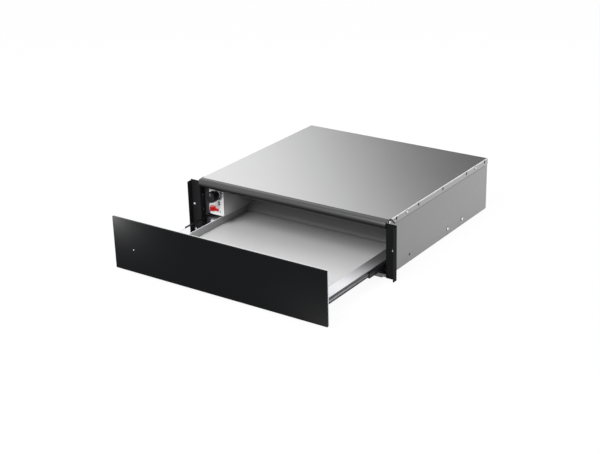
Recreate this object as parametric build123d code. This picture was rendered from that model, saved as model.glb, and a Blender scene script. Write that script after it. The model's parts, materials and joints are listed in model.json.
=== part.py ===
from build123d import *
import os
from math import cos, radians, sin, tan

# Built in warming drawer, shown pulled open. Millimetres.
# X to the right seen from the front, Y back into the cabinet, Z up.
# Origin: middle of the front mounting plane, on the underside of the base.

# ---------------------------------------------------------------- casing
bracket_span = 592.0          # over the outer faces of both front brackets
bracket_width = 25.5          # outer face of a bracket beyond its side panel
casing_width = bracket_span - 2 * bracket_width         # over the outer faces of the side panels
casing_height = 140.0         # to the upper face of the top cover
casing_depth = 500.0          # mounting plane to the outer face of the rear panel
sheet = 0.8                   # casing and liner sheet
side_rise = 3.0               # underside of the side panels above the base
panel_fold = 12.0             # depth of the rear panel's side folds
panel_fold_gap = 0.5          # rear panel's side folds above the base pan's folds
past = 1.0                    # how far a cutting shape runs past what it cuts

# ---------------------------------------------------------------- base pan
base_sheet = 1.0
base_front = -2.0             # front edge of the base pan
base_step_inset = 11.5        # side panel outer face to the stepped part of the base
base_lip = 10.0               # height of the front lip
base_side_fold = 13.0         # top of the folds along side and rear panels
base_return_gap = 0.1         # base pan to the returns of the front brackets
base_fold_setback = 1.0       # front end of the side folds behind the returns

# ---------------------------------------------------------------- front brackets
bracket_sheet = 1.2
bracket_foot = 0.5            # underside of the brackets above the base
bracket_drop = 4.0            # top of the brackets below the casing's top
lip_depth = 14.0              # forward lip on the outer edge
lip_cut = 3.0                 # lip set in at its top
lip_corner = 2.5
return_depth = 19.5           # inner return along the side panel
return_foot = 16.0
flange_hole_inset = 8.0       # mounting hole to the outer face of its bracket
flange_hole_height = 72.0
flange_hole_radius = 2.6

# ---------------------------------------------------------------- top cover and trim
cover_front = 11.0            # front edge of the top cover
cover_corner = 20.0           # front end of the folds over the side panels
cover_fold = 15.5             # height of the folds over the side panels
cover_edge_radius = 1.6
cover_corner_gap = 0.5        # notch of the cover to the bracket
cover_slot_width = 2.6
cover_slot_height = 5.5
cover_slot_drop = 5.5         # slot middle below the upper face
cover_slots_front = (42.0, 144.0, 262.0)      # slots measured from the mounting plane
cover_slots_rear = (116.0, 17.0)              # slots measured from the rear panel
cover_screw_front = 89.0      # screw measured from the mounting plane
cover_screw_rear = 68.0       # screw measured from the rear panel
trim_radius = 10.5            # rounded nose of the front trim
trim_middle = 6.6             # nose centre behind the mounting plane
trim_wall = 1.5
trim_back = 24.0              # rear edge of the trim
trim_tongue = 10.0            # length that reaches under the cover

# ---------------------------------------------------------------- cavity liner
roof_drop = 9.0               # underside of the cavity roof below the casing top
liner_floor = 46.0            # underside of control housing and right liner
control_width = 59.2          # control housing, from the side panel inwards
control_front = 20.0          # front face of the control housing
control_head_gap = 0.2        # housing front below the trim
liner_right_inset = 11.7      # right liner, from the side panel inwards
baffle_to_rear = 76.0         # front face of the rear baffle before the casing's rear
baffle_side_gap = 1.6         # baffle edge to the drawer side profile
insulation_inset = 7.7
housing_fold = 9.0            # fold of the control housing up the side panel
housing_fold_setback = 2.0    # its front end behind the housing's front
insulation_gap = 1.0          # insulation behind the trim's tongue

# ---------------------------------------------------------------- controls
plate_width = 43.5
plate_head = 6.3              # plate below the head of the control housing
plate_thickness = 1.2
plate_corner = 3.0
knob_radius = 14.0
knob_skirt_radius = 15.5
knob_reach = 29.0             # knob front before the control housing
knob_skirt = 3.6
knob_gap = 2.5                # skirt to the control plate
knob_wall = 2.5
knob_from_wall = 19.5         # knob axis to the inner wall of the housing
knob_drop = 17.8              # knob axis below the head of the control housing
knob_bevel = 1.0
pointer_width = 1.6
pointer_depth = 0.6
pointer_start = 3.5           # pointer groove, from the knob's axis
pointer_rim = 1.5             # pointer groove to the knob's edge
shaft_end_gap = 0.1           # shaft to the inside of the knob's face
shaft_bottom_gap = 0.5        # shaft to the end of its bore
hub_seat = 0.5                # knob's hub before the bush
shaft_radius = 3.0
running_gap = 0.05            # radial clearance of turning shafts
bush_radius = 4.6
bush_reach = 4.0              # bush before the control plate
nut_across = 13.0
nut_height = 2.0
thermostat_radius = 16.0
thermostat_depth = 22.0
thermostat_back = 2.0         # wall behind the shaft's bore
capillary_radius = 0.9
bulb_radius = 3.0
bulb_length = 75.0
bulb_to_baffle = 19.0
bulb_wall_gap = 0.2           # bulb to the wall of the control housing
capillary_offset = 5.0        # capillary beside the knob's axis
capillary_run = 30.0          # straight run out of the thermostat
capillary_bend_end = 70.0     # where it has reached the bulb's line
capillary_bend = 20.0
switch_from_wall = 29.5
switch_rise = 16.5            # switch above the floor of the control housing
switch_length = 29.4
switch_breadth = 15.4
switch_depth = 18.0
switch_wall = 1.5
bezel_rim = 1.0
bezel_height = 0.8
cutout_gap = 0.2
rocker_pivot_depth = 1.5      # pivot behind the control housing front
rocker_half = 11.6
rocker_reach = 7.5
rocker_tilt = 14.0
rocker_gap = 0.2
rocker_dip = 2.0              # middle of the rocker's face behind its two ends
rocker_taper = 2.0            # rocker narrower at its pivot
rocker_heel = 3.0             # half width of its back
rocker_heel_depth = 3.5
rocker_edge = 1.0
pocket_depth = 9.0            # switch pocket behind the housing's front
pivot_radius = 1.2
pivot_length = 1.0

# ---------------------------------------------------------------- drawer
drawer_open = 259.6           # how far the drawer stands open as shown
front_width = 594.0
front_height = 130.0
front_foot = 6.0              # lower edge of the drawer front
front_closed = -28.0          # glass face with the drawer closed
glass_thickness = 4.0
glass_corner = 1.0
glass_bevel = 0.4
backing_depth = 3.6
backing_inset = 0.6
inner_front_beyond = 2.4      # inner front beyond the side profiles
inner_front_rise = 6.0        # inner front above the lower edge of the drawer front
inner_front_drop = 14.0       # inner front below the upper edge of the drawer front
inner_front_depth = 10.8
drawer_sheet = 1.0
tray_depth = 21.0             # tray floor below the side profiles' ledges
tray_to_baffle = 19.4         # closed tray to the rear baffle
tray_rear_rise = 18.0         # tray's rear wall above the ledges
tray_rear_bend = 9.0          # inner bend between tray floor and rear wall
tray_rear_gap = 5.5           # raised rear wall to the control housing
tray_rear_inset = 0.5         # raised rear wall to the right side profile
runner_space = 12.1           # side panel to side profile, where the runner sits
ledge_width = 30.6
ledge_overhang = 0.4          # ledge over the tray wall's inner face
profile_height = 11.5
ledge_over_runner = 6.75      # ledge above the runner's centre line
profile_hem = 12.0
ledge_edge = 0.7
mat_thickness = 1.2
mat_inset = 1.0
mat_corner = 4.0
lamp_from_edge = 59.0         # lamp to the left edge of the drawer front
lamp_rise = 57.0              # lamp above the lower edge of the drawer front
lamp_radius = 1.6
lamp_body_radius = 4.0
lamp_gap = 0.05
lamp_reach = 6.0              # lamp body into the inner front

# ---------------------------------------------------------------- runners
runner_fold_gap = 2.25         # outer member's fold above the base pan's folds
runner_start = 21.0
runner_length = 400.0
middle_length = 355.0
middle_setback = 4.0          # middle member behind the outer member's end, drawer closed
runner_sheet = 1.0
inner_half = 3.0              # half height of the inner member
ball_radius = 0.9
ball_gap = 0.1                # ball to its tracks
inner_depth = 6.6             # depth of the inner channel
middle_near = 2.2             # middle channel, from the drawer side
middle_far = 9.0
outer_near = 3.4
ball_line = 4.6               # ball centres, from the drawer side
cage_sheet = 0.5
cage_near = 2.8
inner_cage_back = 7.5
outer_cage_back = 10.3
inner_cage_start = 181.0      # cages with the drawer closed
inner_cage_length = 140.0
outer_cage_start = 121.0
outer_cage_length = 190.0
balls_per_row = 5
stop_gap = 0.3
mounting_fold = 7.0           # outer member below its channel, for the rivets
rivet_places = (291.0, 366.5)
rivet_drop = 11.7             # rivets below the runner's centre line
jig_holes = ((103.0, 1.8), (348.5, 1.0))      # place and radius of open holes beside the rivets
travel_share_middle = 0.5     # middle member's travel, as a share of the drawer's

# ---------------------------------------------------------------- heating
fan_drop = 51.0               # fan axis below the cavity roof
fan_housing_half = 75.0
fan_housing_foot = 6.0
fan_housing_depth = 28.0
ring_radius = 46.0
heater_radius = 3.2
heater_collar = 0.5           # brazed elbows, over the tube
heater_depth = 14.0           # ring centre behind the baffle
heater_leg_side = 8.0
heater_leg = 30.0
heater_pin_radius = 1.4
heater_pin = 8.0
impeller_radius = 36.0
blade_start = 19.8            # inner end of the blades, from the axis
hub_cap = 2.0                 # closed front end of the impeller's hub
impeller_depth = 16.0
impeller_front = 6.0          # impeller behind the baffle
impeller_sheet = 1.0
impeller_blades = 14
blade_thickness = 1.2
hub_radius = 6.0
fan_shaft_radius = 2.5
fan_shaft_length = 56.0
shaft_hole_gap = 1.5          # fan housing round the shaft
stack_side = 50.0
stack_depth = 18.0
rotor_radius = 12.0
rotor_gap = 0.4
rotor_shorter = 2.0
bearing_plate = 5.2
bearing_plate_half = 8.0
coil_width = 28.0
coil_height = 22.0
coil_overhang = 4.0
coil_beyond = 3.0             # coil before and behind the iron
coil_corner = 2.0
safety_radius = 8.0
safety_depth = 8.0
safety_x = 52.0
safety_rise = 32.0            # above the fan axis
safety_tag_width = 3.0
safety_tag_thickness = 0.8
safety_tag_reach = 7.0
safety_tag_side = 4.0
perforation_radius = 2.5
perforation_pitch = 9.0
perforation_field = 34.0
slot_width = 4.0
slot_height = 22.0
slot_pitch = 9.0
slot_first = 48.0
slots_per_side = 3

# ---------------------------------------------------------------- rear and latch
gland_x = 190.0
gland_z = 31.0
gland_bore = 4.0
gland_wall = 2.0
gland_flange_radius = 10.0
gland_flange = 2.0
gland_depth = 12.0
terminal_x = 165.0
terminal_length = 50.0
terminal_depth = 20.0
terminal_height = 20.0
terminal_from_rear = 24.2
terminal_screw = 2.0
terminal_well = 8.0           # depth of the screw wells
terminal_well_inset = 5.0
terminal_ways = 3
cover_box_x = 140.0
cover_box_width = 100.0
cover_box_z = 50.0
cover_box_height = 50.0
cover_box_depth = 7.0
cover_box_rim = 8.0
cover_box_wall = 2.0
cover_box_corner = 4.0
vent_slots = 14
vent_first = -200.0
vent_pitch = 10.0
vent_width = 3.0
vent_height = 34.0
vent_z = 95.0
latch_x = 150.0
latch_z = 27.0
latch_radius = 5.0
latch_flange_radius = 8.0
latch_flange = 2.0
latch_before = 15.0           # latch tube before the baffle
latch_behind = 26.0           # latch tube behind the baffle
plunger_radius = 2.6
plunger_bevel = 0.6
plunger_travel = 4.0
plunger_length = 25.0
plunger_gap = 0.3             # plunger tip to the closed tray
loom_radius = 3.0
bend_share = 0.45             # of the shorter run, taken up by a bend
loom_height = 12.0
loom_rear_gap = 9.2
loom_drop_back = 12.0         # where the loom turns down, before its rear run
loom_drop_side = 22.0         # how far it goes sideways there
loom_lead_start = 55.0        # end of the rear run, from the terminal block
loom_lead_bend = 30.0         # start of the run into the terminal block

# ---------------------------------------------------------------- fasteners
screw_head_radius = 3.4
head_roundness = 0.7          # rounded share of a head's height
screw_head = 2.2
screw_radius = 1.8
screw_reach = 4.0
hole_gap = 0.1
rivet_radius = 1.5
rivet_head_radius = 4.0
rivet_head = 2.4
drawer_screw_radius = 1.9     # heads of the drawer's screws
bracket_screw_back = 11.0
bracket_screw_drops = (84.0, 44.0, 5.0)      # bracket screws below the casing's top
drawer_screw_places = (45.0, 190.0, 330.0)
drawer_screw_head = 1.2
drawer_screw_end = 1.0        # screw end inside the side profile

# ---------------------------------------------------------------- places worked out from the sizes
side_outer = casing_width / 2
side_inner = side_outer - sheet
cover_under = casing_height - sheet
rear_inner = casing_depth - sheet
roof_under = casing_height - roof_drop
base_step = side_outer - base_step_inset
baffle_front = casing_depth - baffle_to_rear
bracket_outer = bracket_span / 2
bracket_top = casing_height - bracket_drop
flange_hole_x = bracket_outer - flange_hole_inset
bracket_screw_heights = [casing_height - drop for drop in bracket_screw_drops]
cover_slots = cover_slots_front + tuple(casing_depth - back for back in cover_slots_rear)
cover_screws = (cover_screw_front, casing_depth - cover_screw_rear)
return_inner = side_inner - bracket_sheet
trim_height = casing_height - trim_radius
trim_under = trim_height - trim_radius
housing_head = trim_under - control_head_gap
wall_inner = -(side_inner - control_width)
plate_face = control_front - plate_thickness
plate_height = housing_head - plate_head - liner_floor
knob_x = wall_inner - knob_from_wall
knob_height = housing_head - knob_drop
switch_x = wall_inner - switch_from_wall
switch_height = liner_floor + switch_rise
liner_right_face = side_inner - liner_right_inset
glass_front = front_closed - drawer_open
glass_back = glass_front + glass_thickness
backing_back = glass_back + backing_depth
pan_front = glass_back + sheet
tray_front = pan_front + inner_front_depth
tray_closed_rear = baffle_front - tray_to_baffle
tray_rear = tray_closed_rear - drawer_open
ball_drop = inner_half + ball_gap + ball_radius
middle_half = ball_drop + ball_radius + ball_gap + runner_sheet
outer_ball_drop = middle_half + ball_gap + ball_radius
outer_half = outer_ball_drop + ball_radius + ball_gap + runner_sheet
runner_middle_height = base_side_fold + runner_fold_gap + mounting_fold + outer_half
runner_end = runner_start + runner_length
travel_share_inner_cage = (1 + travel_share_middle) / 2
travel_share_outer_cage = travel_share_middle / 2
ledge_outer = side_inner - runner_space
ledge_inner = ledge_outer - ledge_width
ledge_height = runner_middle_height + ledge_over_runner
profile_foot = ledge_height - profile_height
tray_half = ledge_inner + ledge_overhang
tray_floor = ledge_height - tray_depth
tray_rear_top = ledge_height + tray_rear_rise
mat_top = tray_floor + mat_thickness
runner_face = ledge_outer
outer_far = side_inner - runner_face
inner_front_half = ledge_outer + inner_front_beyond
inner_front_foot = front_foot + inner_front_rise
inner_front_top = front_foot + front_height - inner_front_drop
lamp_x = lamp_from_edge - front_width / 2
lamp_z = front_foot + lamp_rise
baffle_back = baffle_front + sheet
housing_back = baffle_back + fan_housing_depth
fan_height = roof_under - fan_drop
safety_z = fan_height + safety_rise
latch_front = baffle_front - latch_before
latch_rear = baffle_front + latch_behind


# ---------------------------------------------------------------- small helpers
def block(x0, x1, y0, y1, z0, z1):
    """A box between two corners."""
    return Pos((x0 + x1) / 2, (y0 + y1) / 2, (z0 + z1) / 2) * Box(x1 - x0, y1 - y0, z1 - z0)


def rod_y(x, z, y0, y1, radius):
    """A round bar along Y."""
    return Pos(x, (y0 + y1) / 2, z) * Rot(90, 0, 0) * Cylinder(radius, y1 - y0)


def rod_x(y, z, x0, x1, radius):
    """A round bar along X."""
    return Pos((x0 + x1) / 2, y, z) * Rot(0, 90, 0) * Cylinder(radius, x1 - x0)


def rod_z(x, y, z0, z1, radius):
    """A round bar along Z."""
    return Pos(x, y, (z0 + z1) / 2) * Cylinder(radius, z1 - z0)


def to_left(shape):
    """The same piece on the left of the drawer."""
    return mirror(shape, about=Plane.YZ)


def union(pieces):
    """Pieces of one sheet or casting joined into one solid."""
    joined = pieces[0]
    for piece in pieces[1:]:
        joined = joined + piece
    return joined


def without(shape, cuts):
    """A shape less each of the cutting shapes."""
    for cut in cuts:
        shape = shape - cut
    return shape


def dome_head(radius, height):
    """A low domed head standing on the XY plane."""
    head = extrude(Circle(radius), height)
    return fillet(head.faces().sort_by(Axis.Z)[-1].edges(), height * head_roundness)


def screw(head_radius, head, radius, reach):
    """A screw along Z: head above the XY plane, shank below it."""
    return dome_head(head_radius, head) + Pos(0, 0, -reach / 2) * Cylinder(radius, reach)


def save(name, shape):
    """Writes one node."""
    export_step(shape, f"parts/{name}.step")


# ---------------------------------------------------------------- casing
def side_slot(y):
    """A slot through cover fold and side panel."""
    z = casing_height - cover_slot_drop
    return block(side_inner - past, side_outer + sheet + past, y - cover_slot_width / 2, y + cover_slot_width / 2,
                 z - cover_slot_height / 2, z + cover_slot_height / 2)


def side_hole(y, z, radius):
    """A round hole through everything at the right side panel."""
    return rod_x(y, z, return_inner - past, side_outer + sheet + past, radius + hole_gap)


def runner_holes():
    """Rivet and jig holes through side panel and outer runner member."""
    holes = [side_hole(y, rivet_height(), rivet_radius) for y in rivet_places]
    return holes + [side_hole(y, rivet_height(), radius) for y, radius in jig_holes]


def cover_screw_height():
    """Height of the screws that hold the cover folds."""
    return casing_height - cover_slot_drop


def side_panel():
    """Right side panel, flat, with the holes for cover, bracket and runner."""
    panel = block(side_inner, side_outer, bracket_sheet, casing_depth, side_rise, cover_under)
    corners = panel.edges().filter_by(Axis.X).group_by(Axis.Y)[-1].sort_by(Axis.Z)
    panel = fillet(corners[0], side_rise)
    cuts = [side_slot(y) for y in cover_slots]
    cuts += [side_hole(y, cover_screw_height(), screw_radius) for y in cover_screws]
    cuts += [side_hole(bracket_screw_back, z, screw_radius) for z in bracket_screw_heights]
    return without(panel, cuts + runner_holes())


def base_pan():
    """Base pan: flat underside, stepped sides and low folds all round."""
    plate = block(-base_step, base_step, base_front, rear_inner, 0, base_sheet)
    lip = block(-base_step, base_step, base_front, base_front + base_sheet, 0, base_lip)
    rear = block(-base_step, base_step, rear_inner - base_sheet, rear_inner, 0, base_side_fold)
    pieces = [plate, lip, rear]
    shelf_top = side_rise + base_sheet
    fold_front = return_depth + base_fold_setback
    beside_return = return_inner - base_return_gap
    for side in (1, -1):
        step = block(base_step - base_sheet, base_step, base_front, rear_inner, 0, shelf_top)
        shelf = block(base_step - base_sheet, beside_return, base_front, rear_inner, side_rise, shelf_top)
        lip_end = block(base_step, beside_return, base_front, base_front + base_sheet, side_rise, base_lip)
        strip = block(beside_return - base_sheet, side_inner, fold_front, rear_inner, side_rise, shelf_top)
        fold = block(side_inner - base_sheet, side_inner, fold_front, rear_inner, side_rise, base_side_fold)
        half = [step, shelf, lip_end, strip, fold]
        pieces += half if side > 0 else [to_left(piece) for piece in half]
    return union(pieces)


def rear_panel():
    """Rear panel with side folds, vent slots, service opening and cable hole."""
    plate = block(-side_inner, side_inner, rear_inner, casing_depth, side_rise, cover_under)
    fold = block(side_inner - sheet, side_inner, rear_inner - panel_fold, rear_inner,
                 base_side_fold + panel_fold_gap, roof_under)
    panel = union([plate, fold, to_left(fold)])
    cuts = []
    for count in range(vent_slots):
        x = vent_first + count * vent_pitch
        cuts.append(block(x - vent_width / 2, x + vent_width / 2, rear_inner - past, casing_depth + past,
                          vent_z - vent_height / 2, vent_z + vent_height / 2))
    cuts.append(block(cover_box_x + cover_box_rim, cover_box_x + cover_box_width - cover_box_rim,
                      rear_inner - past, casing_depth + past,
                      cover_box_z + cover_box_rim, cover_box_z + cover_box_height - cover_box_rim))
    gland_hole = gland_bore + gland_wall + hole_gap
    cuts.append(rod_y(gland_x, gland_z, rear_inner - past, casing_depth + past, gland_hole))
    return without(panel, cuts)


def cover_mitre():
    """What is cut from the cover's right front corner: a notch above and a slant down the fold."""
    over = casing_height + past
    under = casing_height - cover_fold - past
    before = cover_front - past
    outline = Polygon((before, under), (cover_corner + cover_fold, under), (cover_corner, cover_under),
                      (cover_corner, over), (before, over), align=None)
    start = return_inner - cover_corner_gap
    return Pos(start, 0, 0) * extrude(Plane.YZ * outline, side_outer + 2 * sheet - start, dir=(1, 0, 0))


def top_cover():
    """Top cover: plate, side folds with mitred front ends, rear fold."""
    outer = side_outer + sheet
    rear = casing_depth + sheet
    shell = block(-outer, outer, cover_front, rear, casing_height - cover_fold, casing_height)
    top_edges = shell.edges().group_by(Axis.Z)[-1]
    shell = fillet(top_edges.filter_by(Axis.Y) + [top_edges.sort_by(Axis.Y)[-1]], cover_edge_radius)
    shell = shell - block(-side_outer, side_outer, cover_front - past, casing_depth,
                          casing_height - cover_fold - past, cover_under)
    cuts = [cover_mitre(), to_left(cover_mitre())]
    for y in cover_slots:
        cuts += [side_slot(y), to_left(side_slot(y))]
    for y in cover_screws:
        hole = side_hole(y, cover_screw_height(), screw_radius)
        cuts += [hole, to_left(hole)]
    return without(shell, cuts)


def front_bracket():
    """Right front bracket: flat with a mounting hole, forward lip and inner return."""
    flat = block(return_inner, bracket_outer, 0, bracket_sheet, bracket_foot, bracket_top)
    lip = block(bracket_outer - bracket_sheet, bracket_outer, -lip_depth, bracket_sheet / 2,
                bracket_foot, bracket_top - lip_cut)
    lip_corners = lip.edges().filter_by(Axis.X).group_by(Axis.Y)[0]
    lip = fillet(lip_corners, lip_corner)
    inner = block(return_inner, side_inner, bracket_sheet / 2, return_depth, return_foot, cover_under)
    bracket = union([flat, lip, inner])
    cuts = [rod_y(flange_hole_x, flange_hole_height, -past, bracket_sheet + past, flange_hole_radius)]
    cuts += [side_hole(bracket_screw_back, z, screw_radius) for z in bracket_screw_heights]
    return without(bracket, cuts)


def front_trim():
    """Rounded trim between the brackets: a hollow nose with a tongue under the cover."""
    with BuildPart() as trim:
        with BuildSketch(Plane.YZ):
            with Locations((trim_middle, trim_height)):
                Circle(trim_radius)
            with Locations(((trim_middle + trim_back) / 2, trim_height)):
                Rectangle(trim_back - trim_middle, 2 * trim_radius)
            with Locations((trim_middle, trim_height)):
                Circle(trim_radius - trim_wall, mode=Mode.SUBTRACT)
            with Locations(((trim_middle + trim_back) / 2 + past, trim_height)):
                Rectangle(trim_back - trim_middle + 2 * past, 2 * (trim_radius - trim_wall), mode=Mode.SUBTRACT)
        extrude(amount=return_inner, both=True)
    over_cover = block(-bracket_outer, bracket_outer, cover_front, trim_back + past,
                       cover_under, casing_height + past)
    tongue = block(-return_inner, return_inner, cover_front, trim_back + trim_tongue,
                   cover_under - trim_wall, cover_under)
    return trim.part - over_cover + tongue


# ---------------------------------------------------------------- cavity liner
def control_housing():
    """Sheet housing left of the cavity: front face, inner wall, floor and a fold on the side panel."""
    left = -side_inner
    front = block(left, wall_inner, control_front, control_front + sheet, liner_floor, housing_head)
    wall = block(wall_inner - sheet, wall_inner, control_front, baffle_front, liner_floor, roof_under)
    floor = block(left, wall_inner, control_front, baffle_front, liner_floor, liner_floor + sheet)
    fold = block(left, left + sheet, control_front + housing_fold_setback, baffle_front,
                 liner_floor, liner_floor + housing_fold)
    housing = union([front, wall, floor, fold])
    head = block(left, wall_inner + past, control_front - past, trim_back + 2 * sheet, housing_head, casing_height)
    return without(housing, [head] + control_cutouts())


def control_cutouts():
    """The openings for thermostat bush and switch, through housing and plate."""
    bush = rod_y(knob_x, knob_height, plate_face - past, control_front + sheet + past, bush_radius + hole_gap)
    half_x = switch_length / 2 + cutout_gap
    half_z = switch_breadth / 2 + cutout_gap
    switch = block(switch_x - half_x, switch_x + half_x, plate_face - past, control_front + sheet + past,
                   switch_height - half_z, switch_height + half_z)
    return [bush, switch]


def control_plate():
    """Flat plate with rounded corners on the housing's front."""
    left = wall_inner - plate_width
    plate = block(left, wall_inner, plate_face, control_front, liner_floor, liner_floor + plate_height)
    plate = fillet(plate.edges().filter_by(Axis.Y), plate_corner)
    return without(plate, control_cutouts())


def liner_right():
    """Right cavity wall with a fold out to the side panel."""
    wall = block(liner_right_face, liner_right_face + sheet, trim_back + sheet, baffle_front, liner_floor, roof_under)
    fold = block(liner_right_face, side_inner, trim_back + sheet, baffle_front, liner_floor, liner_floor + sheet)
    return union([wall, fold])


def liner_roof():
    """Cavity roof with a fold down behind the trim."""
    plate = block(-side_inner, side_inner, trim_back, baffle_back, roof_under, roof_under + sheet)
    fold = block(-return_inner, return_inner, trim_back, trim_back + sheet, trim_under, roof_under)
    clear = block(-side_inner - past, side_inner + past, trim_back - past, trim_back + trim_tongue,
                  cover_under - trim_wall, casing_height)
    return union([plate, fold]) - clear


def insulation_mat():
    """Insulation between cavity roof and top cover."""
    half = side_inner - insulation_inset
    front = trim_back + trim_tongue + insulation_gap
    return block(-half, half, front, baffle_front, roof_under + sheet, cover_under)


def rear_baffle():
    """Perforated wall behind the cavity."""
    low_half = ledge_outer - baffle_side_gap
    upper = block(wall_inner, liner_right_face + sheet, baffle_front, baffle_back, liner_floor, roof_under)
    lower = block(-low_half, low_half, baffle_front, baffle_back, base_sheet, liner_floor)
    plate = union([upper, lower])
    holes = []
    steps = int(perforation_field / perforation_pitch)
    for row in range(-steps, steps + 1):
        for column in range(-steps, steps + 1):
            x = column * perforation_pitch
            z = row * perforation_pitch
            if x * x + z * z <= perforation_field ** 2:
                holes.append(rod_y(x, fan_height + z, baffle_front - past, baffle_back + past, perforation_radius))
    for side in (-1, 1):
        for count in range(slots_per_side):
            x = side * (slot_first + count * slot_pitch)
            for z in (fan_height - slot_height, fan_height + slot_height):
                holes.append(block(x - slot_width / 2, x + slot_width / 2, baffle_front - past, baffle_back + past,
                                   z - slot_height / 2, z + slot_height / 2))
    holes.append(rod_y(latch_x, latch_z, baffle_front - past, baffle_back + past, latch_radius + hole_gap))
    return plate - Compound(children=holes)


# ---------------------------------------------------------------- controls
def thermostat_body():
    """Thermostat cup with its bush through the control plate."""
    back = control_front + sheet + thermostat_depth
    cup = rod_y(knob_x, knob_height, control_front + sheet, back, thermostat_radius)
    bush = rod_y(knob_x, knob_height, plate_face - bush_reach, control_front + sheet, bush_radius)
    bore = rod_y(knob_x, knob_height, plate_face - bush_reach - past, back - thermostat_back,
                 shaft_radius + running_gap)
    return cup + bush - bore


def thermostat_nut():
    """Hexagon nut on the bush."""
    prism = extrude(RegularPolygon(nut_across / 2, 6, major_radius=False), nut_height)
    prism = prism - Cylinder(bush_radius + hole_gap, 3 * nut_height)
    return Pos(knob_x, plate_face, knob_height) * Rot(90, 0, 0) * prism


def thermostat_shaft():
    """Turning shaft inside bush and knob."""
    front = control_front - knob_reach + knob_wall + shaft_end_gap
    back = control_front + sheet + thermostat_depth - thermostat_back - shaft_bottom_gap
    return rod_y(knob_x, knob_height, front, back, shaft_radius)


def thermostat_knob():
    """Hollow knob with a skirt, a hub on the shaft and a pointer groove."""
    front = control_front - knob_reach
    back = plate_face - knob_gap
    body = rod_y(0, 0, front, back, knob_radius)
    body = chamfer(body.edges().filter_by(GeomType.CIRCLE).sort_by(Axis.Y)[0], knob_bevel)
    skirt = rod_y(0, 0, back - knob_skirt, back, knob_skirt_radius)
    hollow = rod_y(0, 0, front + knob_wall, back + past, knob_radius - knob_wall)
    hub = rod_y(0, 0, front + knob_wall / 2, plate_face - bush_reach - hub_seat, shaft_radius + knob_wall)
    bore = rod_y(0, 0, front + knob_wall, back + past, shaft_radius + running_gap)
    pointer = block(-pointer_width / 2, pointer_width / 2, front - past, front + pointer_depth,
                    pointer_start, knob_radius - pointer_rim)
    knob = body + skirt - hollow + hub - bore - pointer
    return Pos(knob_x, 0, knob_height) * knob


def capillary():
    """Capillary tube from the thermostat to its bulb on the duct wall."""
    start = control_front + sheet + thermostat_depth
    bulb_end = baffle_front - bulb_to_baffle
    bulb_x = wall_inner - sheet - bulb_radius - bulb_wall_gap
    first = Vector(knob_x + capillary_offset, start, knob_height)
    route = [first, first + Vector(0, capillary_run, 0), Vector(bulb_x, start + capillary_bend_end, knob_height),
             Vector(bulb_x, bulb_end - bulb_length, knob_height)]
    path = FilletPolyline(*route, radius=capillary_bend)
    tube = sweep(Plane(origin=first, z_dir=(0, 1, 0)) * Circle(capillary_radius), path=path)
    bulb = rod_y(bulb_x, knob_height, bulb_end - bulb_length, bulb_end, bulb_radius)
    return tube + bulb


def switch_pocket():
    """The hollow of the switch body in which the rocker tilts."""
    half_x = switch_length / 2 - switch_wall
    half_z = switch_breadth / 2 - switch_wall + rocker_gap * 2
    return block(switch_x - half_x, switch_x + half_x, plate_face - bezel_height - past,
                 control_front + pocket_depth, switch_height - half_z, switch_height + half_z)


def switch_body():
    """Switch body behind the plate with its bezel before it."""
    half_x = switch_length / 2
    half_z = switch_breadth / 2
    body = block(switch_x - half_x, switch_x + half_x, plate_face, control_front + sheet + switch_depth,
                 switch_height - half_z, switch_height + half_z)
    bezel = block(switch_x - half_x - bezel_rim, switch_x + half_x + bezel_rim,
                  plate_face - bezel_height, plate_face,
                  switch_height - half_z - bezel_rim, switch_height + half_z + bezel_rim)
    bezel = fillet(bezel.edges().filter_by(Axis.Y), bezel_rim)
    pivot_half = half_z - switch_wall + pivot_length + rocker_gap
    pivot = rod_z(switch_x, control_front + rocker_pivot_depth, switch_height - pivot_half,
                  switch_height + pivot_half, pivot_radius + running_gap)
    return body + bezel - switch_pocket() - pivot


def switch_rocker():
    """Tilting rocker with two pivot pins, its left half pushed out."""
    half_z = switch_breadth / 2 - switch_wall
    waist = rocker_half - rocker_taper
    outline = Polygon((-rocker_half, -rocker_reach), (0, -rocker_reach + rocker_dip), (rocker_half, -rocker_reach),
                      (waist, 0), (rocker_heel, rocker_heel_depth), (-rocker_heel, rocker_heel_depth),
                      (-waist, 0), align=None)
    rocker = extrude(outline, half_z, both=True)
    rocker = fillet(rocker.edges().filter_by(Axis.Z).group_by(Axis.Y)[0], rocker_edge)
    rocker = rocker + Cylinder(pivot_radius, 2 * (half_z + pivot_length))
    return Pos(switch_x, control_front + rocker_pivot_depth, switch_height) * Rot(0, 0, rocker_tilt) * rocker


def loom_route():
    """Corner points of the wiring loom, from the switch to the terminal block."""
    rear = rear_inner - loom_rear_gap
    middle = casing_depth - terminal_from_rear - terminal_depth / 2
    return [Vector(switch_x, control_front + sheet + switch_depth, switch_height),
            Vector(switch_x, rear - loom_drop_back, switch_height),
            Vector(switch_x + loom_drop_side, rear, loom_height),
            Vector(terminal_x - loom_lead_start, rear, loom_height),
            Vector(terminal_x - loom_lead_bend, middle, loom_height),
            Vector(terminal_x, middle, loom_height)]


def bend_radii(route):
    """For each corner, the largest radius that its two runs leave room for."""
    radii = []
    for before, corner, after in zip(route, route[1:], route[2:]):
        shorter = min((corner - before).length, (after - corner).length)
        turn = (corner - before).get_angle(after - corner)
        radii.append(bend_share * shorter / tan(radians(turn / 2)))
    return radii


def wiring_loom():
    """Bundle of leads along the duct and the rear of the casing."""
    route = loom_route()
    path = FilletPolyline(*route, radius=bend_radii(route))
    return sweep(Plane(origin=route[0], z_dir=(0, 1, 0)) * Circle(loom_radius), path=path)


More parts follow.
